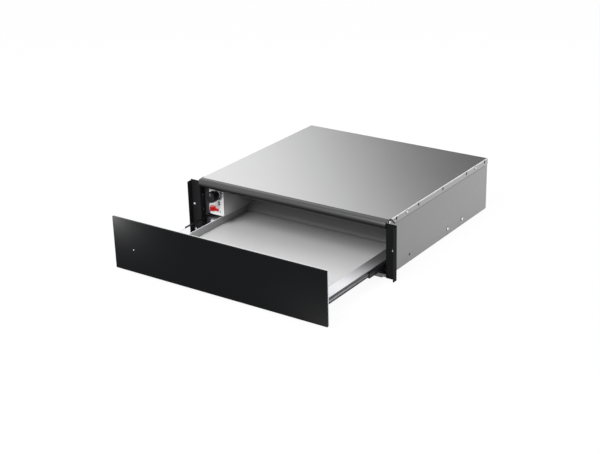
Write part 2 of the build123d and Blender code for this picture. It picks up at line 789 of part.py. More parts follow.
# ---------------------------------------------------------------- drawer
def front_glass():
    """Glass of the drawer front, with the lamp's hole."""
    pane = block(-front_width / 2, front_width / 2, glass_front, glass_back, front_foot, front_foot + front_height)
    pane = fillet(pane.edges().filter_by(Axis.Y), glass_corner)
    rim = pane.faces().sort_by(Axis.Y)[0].edges()
    pane = chamfer(rim, glass_bevel)
    return pane - rod_y(lamp_x, lamp_z, glass_front - past, glass_back + past, lamp_radius + lamp_gap)


def front_backing():
    """Shallow pan glued to the glass."""
    half = front_width / 2 - backing_inset
    foot = front_foot + backing_inset
    top = front_foot + front_height - backing_inset
    pan = block(-half, half, glass_back, backing_back, foot, top)
    inside = block(-half + sheet, half - sheet, pan_front, backing_back + past, foot + sheet, top - sheet)
    lamp = rod_y(lamp_x, lamp_z, glass_back - past, backing_back, lamp_body_radius + lamp_gap)
    return pan - inside - lamp


def inner_front():
    """Pan behind the drawer front that carries the tray."""
    pan = block(-inner_front_half, inner_front_half, pan_front, tray_front, inner_front_foot, inner_front_top)
    inside = block(-inner_front_half + sheet, inner_front_half - sheet, pan_front - past, tray_front - drawer_sheet,
                   inner_front_foot + sheet, inner_front_top - sheet)
    return pan - inside


def indicator_lamp():
    """Lamp with its lens flush in the glass."""
    lens = rod_y(lamp_x, lamp_z, glass_front, glass_back, lamp_radius)
    body = rod_y(lamp_x, lamp_z, glass_back, pan_front + lamp_reach, lamp_body_radius)
    return lens + body


def tray():
    """Tray: floor, side walls, front and rear walls."""
    outer = tray_half + drawer_sheet
    top = ledge_height - drawer_sheet
    box = block(-outer, outer, tray_front, tray_rear, tray_floor - drawer_sheet, top)
    lower = box.edges().filter_by(Axis.X).group_by(Axis.Z)[0]
    box = fillet(lower.sort_by(Axis.Y)[-1], tray_rear_bend + drawer_sheet)
    inside = block(-tray_half, tray_half, tray_front + drawer_sheet, tray_rear - drawer_sheet,
                   tray_floor, top + past)
    lower = inside.edges().filter_by(Axis.X).group_by(Axis.Z)[0]
    inside = fillet(lower.sort_by(Axis.Y)[-1], tray_rear_bend)
    rear = block(wall_inner + tray_rear_gap, ledge_inner - tray_rear_inset, tray_rear - drawer_sheet, tray_rear,
                 top, tray_rear_top)
    return box - inside + rear


def drawer_side():
    """Right side profile: polished ledge, outer wall and lower hem."""
    ledge = block(ledge_inner, ledge_outer, tray_front, tray_rear, ledge_height - drawer_sheet, ledge_height)
    wall = block(ledge_outer - drawer_sheet, ledge_outer, tray_front, tray_rear, profile_foot, ledge_height)
    hem = block(ledge_outer - profile_hem, ledge_outer, tray_front, tray_rear, profile_foot,
                profile_foot + drawer_sheet)
    profile = union([ledge, wall, hem])
    edges = profile.edges().filter_by(Axis.Y).group_by(Axis.Z)[-1].sort_by(Axis.X)
    profile = fillet(edges[-1], ledge_edge)
    cuts = []
    for y in drawer_screw_places:
        cuts.append(rod_x(y - drawer_open, runner_middle_height,
                          ledge_outer - drawer_sheet - past, ledge_outer + past,
                          rivet_radius + hole_gap))
    return without(profile, cuts)


def anti_slip_mat():
    """Mat on the tray floor."""
    half = tray_half - mat_inset
    mat = block(-half, half, tray_front + drawer_sheet + mat_inset, tray_rear - drawer_sheet - tray_rear_bend,
                tray_floor, mat_top)
    return fillet(mat.edges().filter_by(Axis.Z), mat_corner)


# ---------------------------------------------------------------- runners
def channel(near, far, web_at_far, half, start, end):
    """A channel along Y on the right runner, from its near to its far face."""
    x0 = runner_face + near
    x1 = runner_face + far
    z = runner_middle_height
    web_x0 = x1 - runner_sheet if web_at_far else x0
    web = block(web_x0, web_x0 + runner_sheet, start, end, z - half, z + half)
    lower = block(x0, x1, start, end, z - half, z - half + runner_sheet)
    upper = block(x0, x1, start, end, z + half - runner_sheet, z + half)
    return union([web, lower, upper])


def rivet_height():
    """Height of the rivets that hold the runners to the side panels."""
    return runner_middle_height - rivet_drop


def runner_outer():
    """Outer member, riveted to the side panel by a fold below its channel."""
    member = channel(outer_near, outer_far, True, outer_half, runner_start, runner_end)
    z = runner_middle_height
    fold = block(side_inner - runner_sheet, side_inner, runner_start, runner_end,
                 z - outer_half - mounting_fold, z - outer_half + runner_sheet / 2)
    stop = block(runner_face + outer_near, side_inner, runner_end + stop_gap, runner_end + stop_gap + runner_sheet,
                 z - inner_half, z + inner_half)
    bridge = block(side_inner - runner_sheet, side_inner, runner_end - past, runner_end + stop_gap + runner_sheet,
                   z - inner_half, z + inner_half)
    member = union([member, fold, stop, bridge])
    return without(member, runner_holes())


def runner_middle():
    """Middle member, half way between casing and drawer."""
    end = runner_end - middle_setback - travel_share_middle * drawer_open
    return channel(middle_near, middle_far, True, middle_half, end - middle_length, end)


def runner_inner():
    """Inner member, screwed to the drawer's side profile."""
    member = channel(0, inner_depth, False, inner_half, runner_start - drawer_open, runner_end - drawer_open)
    cuts = [rod_x(y - drawer_open, runner_middle_height, runner_face - past, runner_face + runner_sheet + past,
                  rivet_radius + hole_gap) for y in drawer_screw_places]
    return without(member, cuts)


def ball_places(start, length):
    """Places of the balls along one row."""
    pitch = length / balls_per_row
    return [start + pitch * (count + 0.5) for count in range(balls_per_row)]


def cage(drop, back, start, length):
    """A U-shaped ball cage with a hole round every ball."""
    z = runner_middle_height
    x0 = runner_face + cage_near
    x1 = runner_face + back
    web = block(x1 - cage_sheet, x1, start, start + length, z - drop - cage_sheet / 2, z + drop + cage_sheet / 2)
    half = cage_sheet / 2
    strips = [block(x0, x1, start, start + length, z + side * drop - half, z + side * drop + half)
              for side in (-1, 1)]
    holes = [rod_z(runner_face + ball_line, y, z - drop - past, z + drop + past, ball_radius + ball_gap)
             for y in ball_places(start, length)]
    return without(union([web] + strips), holes)


def balls(drop, start, length):
    """The balls of one cage, above and below."""
    z = runner_middle_height
    return Compound(children=[Pos(runner_face + ball_line, y, z + side * drop) * Sphere(ball_radius)
                              for side in (-1, 1) for y in ball_places(start, length)])


# ---------------------------------------------------------------- heating
def fan_housing():
    """Box behind the baffle round impeller and heater."""
    half = fan_housing_half
    box = block(-half, half, baffle_back, housing_back, fan_housing_foot, roof_under)
    inside = block(-half + sheet, half - sheet, baffle_back - past, housing_back - sheet,
                   fan_housing_foot + sheet, roof_under - sheet)
    shaft = rod_y(0, fan_height, housing_back - sheet - past, housing_back + past,
                  fan_shaft_radius + shaft_hole_gap)
    legs = [rod_y(side * heater_leg_side, leg_height(), housing_back - sheet - past, housing_back + past,
                  heater_radius + hole_gap) for side in (-1, 1)]
    return without(box - inside, [shaft] + legs)


def leg_height():
    """Height at which the heater's legs leave the ring."""
    return fan_height + (ring_radius ** 2 - heater_leg_side ** 2) ** 0.5


def heater_element():
    """Ring heater: an open ring whose ends turn back through the housing."""
    y = baffle_back + heater_depth
    ring = Pos(0, y, fan_height) * Rot(90, 0, 0) * Torus(ring_radius, heater_radius)
    gap = block(-heater_leg_side, heater_leg_side, y - 2 * heater_radius, y + 2 * heater_radius,
                fan_height, fan_height + 2 * ring_radius)
    pieces = [ring - gap]
    for side in (-1, 1):
        x = side * heater_leg_side
        pieces.append(Pos(x, y, leg_height()) * Sphere(heater_radius + heater_collar))
        pieces.append(rod_y(x, leg_height(), y, y + heater_leg, heater_radius))
        pieces.append(rod_y(x, leg_height(), y + heater_leg, y + heater_leg + heater_pin, heater_pin_radius))
    return union(pieces)


def fan_impeller():
    """Radial impeller: back disc, hub and straight blades."""
    front = baffle_back + impeller_front
    back = front + impeller_depth
    disc = rod_y(0, fan_height, back - impeller_sheet, back, impeller_radius)
    hub = rod_y(0, fan_height, front, back, hub_radius)
    blade = block(-blade_thickness / 2, blade_thickness / 2, front, back - impeller_sheet / 2,
                  blade_start, impeller_radius)
    blades = [Pos(0, 0, fan_height) * Rot(0, count * 360 / impeller_blades, 0) * blade
              for count in range(impeller_blades)]
    bore = rod_y(0, fan_height, front + hub_cap, back + past, fan_shaft_radius)
    return union([disc, hub] + blades) - bore


def stack_front():
    """Front face of the motor's iron."""
    return housing_back + bearing_plate


def fan_shaft():
    """Motor shaft with its rotor."""
    start = baffle_back + impeller_front + hub_cap
    rotor_start = stack_front() + rotor_shorter / 2
    shaft = rod_y(0, fan_height, start, start + fan_shaft_length, fan_shaft_radius)
    rotor = rod_y(0, fan_height, rotor_start, rotor_start + stack_depth - rotor_shorter, rotor_radius)
    return shaft + rotor


def motor_frame():
    """Motor iron with a bearing plate before and behind it."""
    half = stack_side / 2
    y0 = stack_front()
    y1 = y0 + stack_depth
    stack = block(-half, half, y0, y1, fan_height - half, fan_height + half)
    stack = stack - rod_y(0, fan_height, y0 - past, y1 + past, rotor_radius + rotor_gap)
    coil_room = block(-coil_width / 2, coil_width / 2, y0 - past, y1 + past,
                      fan_height - half - past, fan_height - half + coil_overhang)
    stack = stack - coil_room
    plates = [block(-half, half, housing_back, y0, fan_height - bearing_plate_half, fan_height + bearing_plate_half),
              block(-half, half, y1, y1 + bearing_plate, fan_height - bearing_plate_half,
                    fan_height + bearing_plate_half)]
    bore = rod_y(0, fan_height, housing_back - past, y1 + bearing_plate + past, fan_shaft_radius + running_gap)
    return union([stack] + plates) - bore


def motor_coil():
    """Coil below the motor's iron."""
    y0 = stack_front() - coil_beyond
    y1 = stack_front() + stack_depth + coil_beyond
    top = fan_height - stack_side / 2 + coil_overhang
    coil = block(-coil_width / 2, coil_width / 2, y0, y1, top - coil_height, top)
    return fillet(coil.edges().filter_by(Axis.X), coil_corner)


def safety_thermostat():
    """Disc thermostat on the back of the fan housing."""
    disc = rod_y(safety_x, safety_z, housing_back, housing_back + safety_depth, safety_radius)
    back = housing_back + safety_depth
    pieces = [disc]
    for side in (-1, 1):
        x = safety_x + side * safety_tag_side
        pieces.append(block(x - safety_tag_width / 2, x + safety_tag_width / 2, back, back + safety_tag_reach,
                            safety_z - safety_tag_thickness / 2, safety_z + safety_tag_thickness / 2))
    return union(pieces)


# ---------------------------------------------------------------- rear and latch
def terminal_block():
    """Terminal block on the base, with its clamping screw wells."""
    y1 = casing_depth - terminal_from_rear
    top = base_sheet + terminal_height
    body = block(terminal_x, terminal_x + terminal_length, y1 - terminal_depth, y1, base_sheet, top)
    pitch = terminal_length / terminal_ways
    wells = []
    for way in range(terminal_ways):
        x = terminal_x + pitch * (way + 0.5)
        wells += [rod_z(x, y1 - depth, top - terminal_well, top + past,
                        terminal_screw) for depth in (terminal_well_inset, terminal_depth - terminal_well_inset)]
    return without(body, wells)


def terminal_cover():
    """Raised cover over the service opening at the rear."""
    x0 = cover_box_x
    x1 = cover_box_x + cover_box_width
    z0 = cover_box_z
    z1 = cover_box_z + cover_box_height
    y1 = casing_depth + cover_box_depth
    wall = cover_box_wall
    box = fillet(block(x0, x1, casing_depth, y1, z0, z1).edges().filter_by(Axis.Y), cover_box_corner)
    return box - block(x0 + wall, x1 - wall, casing_depth - past, y1 - wall, z0 + wall, z1 - wall)


def cable_gland():
    """Gland for the mains lead in the rear panel."""
    outer = gland_bore + gland_wall
    flange = rod_y(gland_x, gland_z, casing_depth, casing_depth + gland_flange, gland_flange_radius)
    neck = rod_y(gland_x, gland_z, casing_depth - gland_depth, casing_depth, outer)
    end = casing_depth + gland_flange
    bore = rod_y(gland_x, gland_z, casing_depth - gland_depth - past, end + past, gland_bore)
    return flange + neck - bore


def latch_body():
    """Push latch through the baffle."""
    tube = rod_y(latch_x, latch_z, latch_front, latch_rear, latch_radius)
    flange = rod_y(latch_x, latch_z, baffle_front - latch_flange, baffle_front, latch_flange_radius)
    end = tray_closed_rear + plunger_gap + plunger_length
    bore = rod_y(latch_x, latch_z, latch_front - past, end + plunger_travel + past, plunger_radius + running_gap)
    return tube + flange - bore


def latch_plunger():
    """Sprung plunger that meets the closed tray."""
    tip = tray_closed_rear + plunger_gap
    plunger = rod_y(latch_x, latch_z, tip, tip + plunger_length, plunger_radius)
    return chamfer(plunger.edges().filter_by(GeomType.CIRCLE).sort_by(Axis.Y)[0], plunger_bevel)


# ---------------------------------------------------------------- fasteners
def side_screws(places, z):
    """Screws along a line on the right side, heads outwards on the cover's fold."""
    piece = screw(screw_head_radius, screw_head, screw_radius, screw_reach)
    return [Pos(side_outer + sheet, y, z) * Rot(0, 90, 0) * piece for y in places]


def cover_screw_group():
    """Screws of the cover folds, both sides."""
    right = side_screws(cover_screws, cover_screw_height())
    return Compound(children=right + [to_left(piece) for piece in right])


def bracket_screw_group():
    """Screws that hold the front brackets to the side panels."""
    piece = screw(screw_head_radius, screw_head, screw_radius, screw_reach)
    right = [Pos(side_outer, bracket_screw_back, z) * Rot(0, 90, 0) * piece for z in bracket_screw_heights]
    return Compound(children=right + [to_left(screw_piece) for screw_piece in right])


def side_rivet_group():
    """Rivets that hold the outer runner members."""
    piece = screw(rivet_head_radius, rivet_head, rivet_radius, sheet + runner_sheet)
    right = [Pos(side_outer, y, rivet_height()) * Rot(0, 90, 0) * piece for y in rivet_places]
    return Compound(children=right + [to_left(rivet) for rivet in right])


def drawer_screw_group():
    """Flat screws that hold the inner runner members to the drawer."""
    stem = runner_sheet + drawer_sheet + drawer_screw_end
    piece = screw(drawer_screw_radius, drawer_screw_head, rivet_radius, stem)
    right = [Pos(runner_face + runner_sheet, y - drawer_open, runner_middle_height) * Rot(0, 90, 0) * piece
             for y in drawer_screw_places]
    return Compound(children=right + [to_left(screw_piece) for screw_piece in right])


# ---------------------------------------------------------------- nodes
def both_sides(name, shape):
    """Writes a piece and its mirror image."""
    save(f"{name}_right", shape)
    save(f"{name}_left", to_left(shape))


def main():
    """Writes every node."""
    os.makedirs("parts", exist_ok=True)
    both_sides("side_panel", side_panel())
    both_sides("front_bracket", front_bracket())
    both_sides("drawer_side", drawer_side())
    both_sides("runner_outer", runner_outer())
    both_sides("runner_middle", runner_middle())
    both_sides("runner_inner", runner_inner())
    inner_start = inner_cage_start - travel_share_inner_cage * drawer_open
    outer_start = outer_cage_start - travel_share_outer_cage * drawer_open
    both_sides("runner_cage_inner", cage(ball_drop, inner_cage_back, inner_start, inner_cage_length))
    both_sides("runner_cage_outer", cage(outer_ball_drop, outer_cage_back, outer_start, outer_cage_length))
    both_sides("runner_balls_inner", balls(ball_drop, inner_start, inner_cage_length))
    both_sides("runner_balls_outer", balls(outer_ball_drop, outer_start, outer_cage_length))
    singles = {
        "base_pan": base_pan, "rear_panel": rear_panel, "top_cover": top_cover, "front_trim": front_trim,
        "control_housing": control_housing, "control_plate": control_plate, "liner_right": liner_right,
        "liner_roof": liner_roof, "insulation_mat": insulation_mat, "rear_baffle": rear_baffle,
        "thermostat_body": thermostat_body, "thermostat_nut": thermostat_nut,
        "thermostat_shaft": thermostat_shaft, "thermostat_knob": thermostat_knob,
        "thermostat_capillary": capillary, "switch_body": switch_body, "switch_rocker": switch_rocker,
        "wiring_loom": wiring_loom, "front_glass": front_glass, "front_backing": front_backing,
        "inner_front": inner_front, "indicator_lamp": indicator_lamp, "tray": tray,
        "anti_slip_mat": anti_slip_mat, "fan_housing": fan_housing, "heater_element": heater_element,
        "fan_impeller": fan_impeller, "fan_shaft": fan_shaft, "motor_frame": motor_frame,
        "motor_coil": motor_coil, "safety_thermostat": safety_thermostat, "terminal_block": terminal_block,
        "terminal_cover": terminal_cover, "cable_gland": cable_gland, "latch_body": latch_body,
        "latch_plunger": latch_plunger, "cover_screws": cover_screw_group,
        "bracket_screws": bracket_screw_group, "side_rivets": side_rivet_group,
        "drawer_screws": drawer_screw_group,
    }
    for name, make in singles.items():
        save(name, make())


main()
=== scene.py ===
import json
import math

import bmesh
import bpy
from mathutils import Matrix, Vector


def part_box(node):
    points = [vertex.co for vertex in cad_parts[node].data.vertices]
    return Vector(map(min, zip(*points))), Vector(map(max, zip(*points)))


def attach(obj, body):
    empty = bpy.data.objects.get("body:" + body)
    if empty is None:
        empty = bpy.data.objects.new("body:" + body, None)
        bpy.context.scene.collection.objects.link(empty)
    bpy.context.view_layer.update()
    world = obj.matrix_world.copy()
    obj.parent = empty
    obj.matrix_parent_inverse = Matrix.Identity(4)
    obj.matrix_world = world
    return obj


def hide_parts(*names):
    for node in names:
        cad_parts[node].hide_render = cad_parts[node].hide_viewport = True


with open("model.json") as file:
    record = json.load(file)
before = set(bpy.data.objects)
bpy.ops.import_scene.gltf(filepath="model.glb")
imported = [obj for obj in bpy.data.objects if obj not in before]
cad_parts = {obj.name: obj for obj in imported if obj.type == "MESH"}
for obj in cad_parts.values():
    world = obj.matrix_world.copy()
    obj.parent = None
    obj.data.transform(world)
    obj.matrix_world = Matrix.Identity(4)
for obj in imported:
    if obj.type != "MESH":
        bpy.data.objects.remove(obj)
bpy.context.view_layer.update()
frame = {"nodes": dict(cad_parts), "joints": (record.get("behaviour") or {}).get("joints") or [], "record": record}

NODES = frame["nodes"]
MM = 0.001


def mm(*lengths):
    """Millimetres as metres."""
    return tuple(length * MM for length in lengths)


def corners(node):
    """Lowest and highest corner of a CAD node at rest, in metres."""
    low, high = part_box(node)
    return Vector(low), Vector(high)


def heading(side, rise):
    """A direction turned left from the rear and up by two angles in degrees."""
    side, rise = math.radians(side), math.radians(rise)
    return Vector((-math.sin(side) * math.cos(rise), math.cos(side) * math.cos(rise), math.sin(rise)))


# ---- sizes of the pieces made here, in mm
SHEET = 0.8
SOFT_EDGE = 0.1

KNOB_RADIUS, KNOB_GRIP, KNOB_DISH, KNOB_SEGMENTS = 14.0, 16.5, 0.25, 96
KNOB_NECK_RADIUS, KNOB_NECK_FILLET = 9.6, 0.6
KNOB_REAR_EDGE = ((0.8, 0.0), (0.2, 0.3), (0.0, 0.9))  # (in from the side, forward of the rear)
KNOB_FRONT_EDGE = ((0.0, 1.3), (0.3, 0.6), (1.0, 0.15), (1.6, 0.0), (2.4, KNOB_DISH))  # (in, back)
KNOB_RIBS, RIB_WIDTH, RIB_PROUD, RIB_EDGE = 32, 0.9, 0.35, 0.25
RIB_REAR, RIB_FRONT = 1.2, 1.8  # left free at each end of the grip
POINTER_START, POINTER_END, POINTER_WIDTH = 3.0, 11.6, 1.1
POINTER_DEPTH, POINTER_SINK = 0.5, 0.6

DIAL_BARS, DIAL_BAR_WIDTH, DIAL_THICKNESS = 13, 2.5, 0.12
DIAL_FIRST, DIAL_LAST = -135.0, 35.0  # degrees
DIAL_INSIDE, DIAL_SHORTEST, DIAL_GROWTH = 10.2, 3.2, 0.16
MARKS = [("warming_mark", -225.0, 81.0, 3),  # name, x, z, strokes
         ("keeping_mark", -225.0, 75.4, 3),
         ("switch_mark", -222.2, 55.4, 1)]
MARK_HEIGHT, MARK_PITCH, MARK_SWAY = 4.6, 2.0, 0.45
MARK_HALF_WIDTH, MARK_THICKNESS, MARK_STEPS = 0.8, 0.1, 10

ROCKER_HALF, ROCKER_REACH, ROCKER_DIP = 11.6, 7.5, 2.0
ROCKER_WAIST, ROCKER_HEEL, ROCKER_HEEL_DEPTH = 9.6, 3.0, 3.5
ROCKER_HALF_HEIGHT, ROCKER_LIFT, ROCKER_TILT = 7.0, 2.6, 14.0  # the last in degrees
ROCKER_EDGE, ROCKER_EDGE_STEPS, ROCKER_SHARP = 2.2, 5, 0.5  # the last in radians

CASING_SCREW, DRAWER_SCREW = (3.4, 2.2, 0.9), (1.9, 1.2, 0.7)  # radius, height, width of the recess
REAR_SCREW, RIVET = (2.6, 1.6, 0.7), (4.0, 2.4, 0.0)
HEAD_RIM, HEAD_STEPS, HEAD_SEGMENTS = 0.35, 8, 40  # the first as a share of the height
SHANK_SHARE, SHANK_DEPTH = 0.5, 0.6  # the first as a share of the radius
RECESS_REACH, RECESS_FLOOR = 0.62, 0.45  # shares of the radius and of the height
# sizes of the thin ring of painted shade round each head
SHADE_RING_INSIDE, SHADE_RING_RIM, SHADE_RING_SINK, SHADE_RING_RISE = 0.8, 1.5, 0.1, 0.12  # the first as a share of the radius
REAR_SCREWS, REAR_HEAD, REAR_FOOT = (-240.0, -80.0, 80.0, 240.0), 132.0, 10.0  # x of each, z of the rows

SLOT_PLACES, SLOT_DROP = (42.0, 144.0, 262.0, 384.0, 483.0), 5.5  # y of each, depth under the top
# size and inset of the dark strip of painted shade in each slot
SHADE_STRIP_SIZE, SHADE_STRIP_INSET = (0.9, 5.4, 8.1), 0.38
JIG_HOLE = (104.0, 21.5)  # y, z
# the dark disc of painted shade in the hole low on each side
SHADE_DISC_SEGMENTS = 24
SHADE_DISC_OUTLINE = [(0, -0.6), (1.6, -0.6), (1.6, 0.02), (3.0, 0.02), (2.9, 0.12), (0, 0.15)]
# dark lines of painted shade at the cover's mitred corners and under each fold
MITRE_SHADE_LINES = [((19.8, 1.2), (35.1, 16.1)), ((20.4, 0.9), (4.0, 2.4))]  # ends as (y, depth under the cover's top)
SHADE_LINE_HALF_WIDTH, SHADE_LINE_SINK, SHADE_LINE_PROUD, SHADE_LINE_CLEARANCE = 1.2, 0.1, 0.86, 0.05
SHADE_START, SHADE_END, SHADE_DROP = 37.5, 6.0, 16.8
SHADE_DEPTH, SHADE_HEIGHT = 0.3, 1.2
# place and outline of the bright ring of painted highlight in each bracket hole
FLANGE_HOLE, HOLE_GLINT_BACK = (288.0, 72.0), 1.25  # (x, z), y
HOLE_GLINT_OUTLINE = [(1.5, 0.0), (2.4, 0.0), (2.4, 1.3), (2.8, 1.3),
                  (2.8, 1.6), (1.7, 1.7), (1.5, 1.6), (1.5, 0.0)]
# dots of painted highlight along the left ledge's inner edge
GLINT_PITCH, GLINT_LENGTH, GLINT_WIDTH, GLINT_HEIGHT = 5.6, 2.8, 2.2, 1.1
GLINT_INSET, GLINT_SINK, GLINT_EDGE = 1.0, 0.6, 0.4
TRAY_GAP, HEEL_THICKNESS, HEEL_INSET = 5.5, 0.7, 0.8
HEEL_SIDE_GAP, HEEL_FOOT_GAP, HEEL_WALL_GAP = 0.4, 0.5, 1.0
HEEL_SINK, HEEL_LAP = 0.6, 0.8

# ---- where finishes, painted light and painted shade change, in mm from an end of the piece or along Y
REAR_FADE = (50.0, 500.0)
# the cover's painted fold shade, painted bend highlight and painted lip shade
COVER_PAINTED_FOLD_SHADE, COVER_PAINTED_BEND_HIGHLIGHT, COVER_PAINTED_LIP_SHADE = (-0.3, -0.2), (-1.6, -1.2), (13.8, 14.8)
# the right profile's painted shade on its outer wall and towards its rear
PROFILE_PAINTED_WALL_SHADE, PROFILE_PAINTED_SHADE = (-0.9, -0.4), (-165.0, 20.0)
STUD_PITCH, STUD_EDGE = 2.5, (0.4, 0.9)
# the tray's painted shade from its rear; TRIM_BROW is where the trim's painted shade ends above its foot
TRAY_PAINTED_SHADE, TRIM_BROW = (-55.0, -2.0), (8.0, 13.0)
# the housing's painted shade on its front and its painted light at its foot, fading off
HOUSING_PAINTED_FRONT_SHADE, HOUSING_FOOT, HOUSING_PAINTED_LIGHT_FADE = (1.0, 1.2), 12.0, 50.0
# the rocker's painted highlight at its upper end and painted pink sheen along its top
LENS_PAINTED_HIGHLIGHT_END, LENS_PAINTED_HIGHLIGHT_TOP, LENS_BROW = (-8.0, -3.0), (-7.5, -3.5), (-3.5, -1.5)
GRAIN_ACROSS, GRAIN_ALONG = 1400.0, 14.0  # noise cells per metre of brushed sheet
DRAWN_ACROSS, DRAWN_ALONG = 2500.0, 6.0  # and of drawn profiles
FIBRES_ACROSS, FIBRES_ALONG = 900.0, 240.0  # and of mineral fibre
HAIRLINE = 0.00001  # depth of a fine grain, in metres

# ---- the photograph's view and light
CAMERA_PLACE, CAMERA_LENS = (1610.8, -2255.2, 1216.4), 75.496  # mm
CAMERA_YAW, CAMERA_PITCH, CAMERA_ROLL = 34.995, 22.495, -1.511  # degrees
CARD = heading(-46.9, -23.7)  # towards the middle of the dark card
CARD_EDGE = (-0.071, 0.100)  # cosines to that direction, where the card starts and where it is full
CARD_BRIGHT, CARD_DARK = 1.080, 0.072  # light outside the card and in it
SKY_FOOT, SKY_TOP = 0.02, 1.25  # light at the horizon and overhead
FLOOR_HALF, FLOOR_DROP, FLOOR_GLOW = 6.0, 0.0005, 0.93  # metres, metres, share of its own light

# ---- socket numbers of nodes that repeat a name
MIX_FIRST, MIX_SECOND, MIX_RESULT = 6, 7, 2
RANDOM_LOW, RANDOM_HIGH, RANDOM_SEED, RANDOM_RESULT = 2, 3, 8, 1


# ---- node trees
def operator(operation):
    """A Python operator and its reflected form, each adding a Math node."""
    return (lambda self, other: self.math(operation, self, other),
            lambda self, other: self.math(operation, other, self))


class Value:
    """A node's output, on which Python arithmetic adds Math nodes."""

    __add__, __radd__ = operator("ADD")
    __sub__, __rsub__ = operator("SUBTRACT")
    __mul__, __rmul__ = operator("MULTIPLY")
    __truediv__, __rtruediv__ = operator("DIVIDE")
    __pow__, __rpow__ = operator("POWER")
    __lt__, __gt__ = operator("LESS_THAN")

    def __init__(self, tree, socket):
        self.tree = tree
        self.socket = socket

    def math(self, operation, *terms):
        """A Math node of those terms."""
        return self.tree.node("ShaderNodeMath", {"operation": operation}, dict(enumerate(terms)))

    def __abs__(self):
        return self.math("ABSOLUTE", self)

    def most(self, other):
        """The larger of two."""
        return self.math("MAXIMUM", self, other)

    def sine(self):
        return self.math("SINE", self)

    def cosine(self):
        return self.math("COSINE", self)

    def cycle(self, length):
        """The distance into a repeat of that length."""
        return self.math("FLOORED_MODULO", self, length)


class Tree:
    """A shader or geometry node tree, filled by one method."""

    def __init__(self, tree):
        self.tree = tree
        self.tree.nodes.clear()

    def node(self, kind, settings=None, inputs=None, output=0):
        """Adds a node: first its settings, then its sockets. Gives one output, or the node for None."""
        node = self.tree.nodes.new(kind)
        for setting, choice in (settings or {}).items():
            setattr(node, setting, choice)
        for key, term in (inputs or {}).items():
            if isinstance(term, Value):
                self.tree.links.new(term.socket, node.inputs[key])
            else:
                node.inputs[key].default_value = term
        return node if output is None else Value(self, node.outputs[output])

    def between(self, value, low, high, to_low=0.0, to_high=1.0, smooth=False):
        """A value's stretch from low to high, spread over another stretch and held at its ends."""
        settings = {"clamp": True, "interpolation_type": "SMOOTHSTEP" if smooth else "LINEAR"}
        return self.node("ShaderNodeMapRange", settings,
                         {"Value": value, "From Min": low, "From Max": high,
                          "To Min": to_low, "To Max": to_high})

    def ray(self, kind):
        """1 for rays of that kind."""
        return self.node("ShaderNodeLightPath", output=f"Is {kind} Ray")


class Finish(Tree):
    """A procedural surface finish in Object coordinates."""

    def __init__(self, name, **constants):
        self.material = bpy.data.materials.new(name)
        self.material.use_nodes = True
        super().__init__(self.material.node_tree)
        self.surface = self.node("ShaderNodeBsdfPrincipled")
        self.shader = self.surface.socket.node
        self.end = self.node("ShaderNodeOutputMaterial", inputs={"Surface": self.surface}, output=None)
        self.place = self.node("ShaderNodeTexCoord", output="Object")
        for socket, constant in constants.items():
            self.set(socket.replace("_", " "), constant)

    def set(self, socket, term):
        """A constant or a link for one of the shader's sockets."""
        target = self.shader.inputs[socket]
        if isinstance(term, Value):
            self.tree.links.new(term.socket, target)
        else:
            target.default_value = (*term, 1.0) if isinstance(term, tuple) and len(term) == 3 else term

    def axis(self, letter):
        """One Object coordinate, in metres."""
        return self.node("ShaderNodeSeparateXYZ", inputs={"Vector": self.place}, output=letter)

    def passing(self, value, end, changes, smooth=False):
        """0 to 1 as a coordinate passes from one place to the next, both in mm from an end in metres."""
        first, last = (end + change * MM for change in changes)
        return self.between(value, first, last, smooth=smooth)

    def stretched(self, scale):
        """Object coordinates scaled along each axis, for a grain with a direction."""
        return self.node("ShaderNodeMapping", inputs={"Vector": self.place, "Scale": scale})

    def grained(self, axis, across=GRAIN_ACROSS, along=GRAIN_ALONG):
        """Object coordinates for a grain that runs along one axis."""
        return self.stretched(tuple(along if letter == axis else across for letter in "xyz"))

    def noise(self, scale, detail=3.0, roughness=0.5, place=None):
        """Cloudy noise from 0 to 1, its cells about 1 / scale metres wide."""
        return self.node("ShaderNodeTexNoise", inputs={"Vector": place or self.place, "Scale": scale,
                                                       "Detail": detail, "Roughness": roughness})

    def cells(self, scale, output="Distance"):
        """Voronoi cells, for zinc spangle and specks."""
        return self.node("ShaderNodeTexVoronoi", None, {"Vector": self.place, "Scale": scale}, output)

    def blend(self, factor, first, second):
        """A colour between two, by a factor."""
        first = (*first, 1.0) if isinstance(first, tuple) else first
        second = (*second, 1.0) if isinstance(second, tuple) else second
        return self.node("ShaderNodeMix", {"data_type": "RGBA"},
                         {"Factor": factor, MIX_FIRST: first, MIX_SECOND: second}, MIX_RESULT)

    def relief(self, height, depth):
        """A bump of that depth in metres, from a height between 0 and 1."""
        self.set("Normal", self.node("ShaderNodeBump", inputs={"Height": height, "Distance": depth}))


# ---- finishes
def tinted(colour, share):
    """The colour, darker or lighter by a share."""
    return tuple(channel * share for channel in colour)


def brushed_steel(name, colour, along, roughness, spread=0.04, metallic=1.0, contrast=0.94):
    """Brushed sheet with its grain along one axis and faint cloudy handling marks."""
    finish = Finish(name, Metallic=metallic)
    lines = finish.grained(along)
    grain = finish.noise(1.0, 2.0, place=lines)
    fine = finish.noise(2.2, 1.0, place=lines)
    clouds = finish.noise(9.0, 3.0)
    finish.set("Base Color", finish.blend(grain * 0.7 + fine * 0.3, tinted(colour, contrast), colour))
    finish.set("Roughness", roughness + (grain - 0.5) * spread * 2 + (clouds - 0.5) * spread)
    finish.relief(grain, HAIRLINE)
    return finish.material


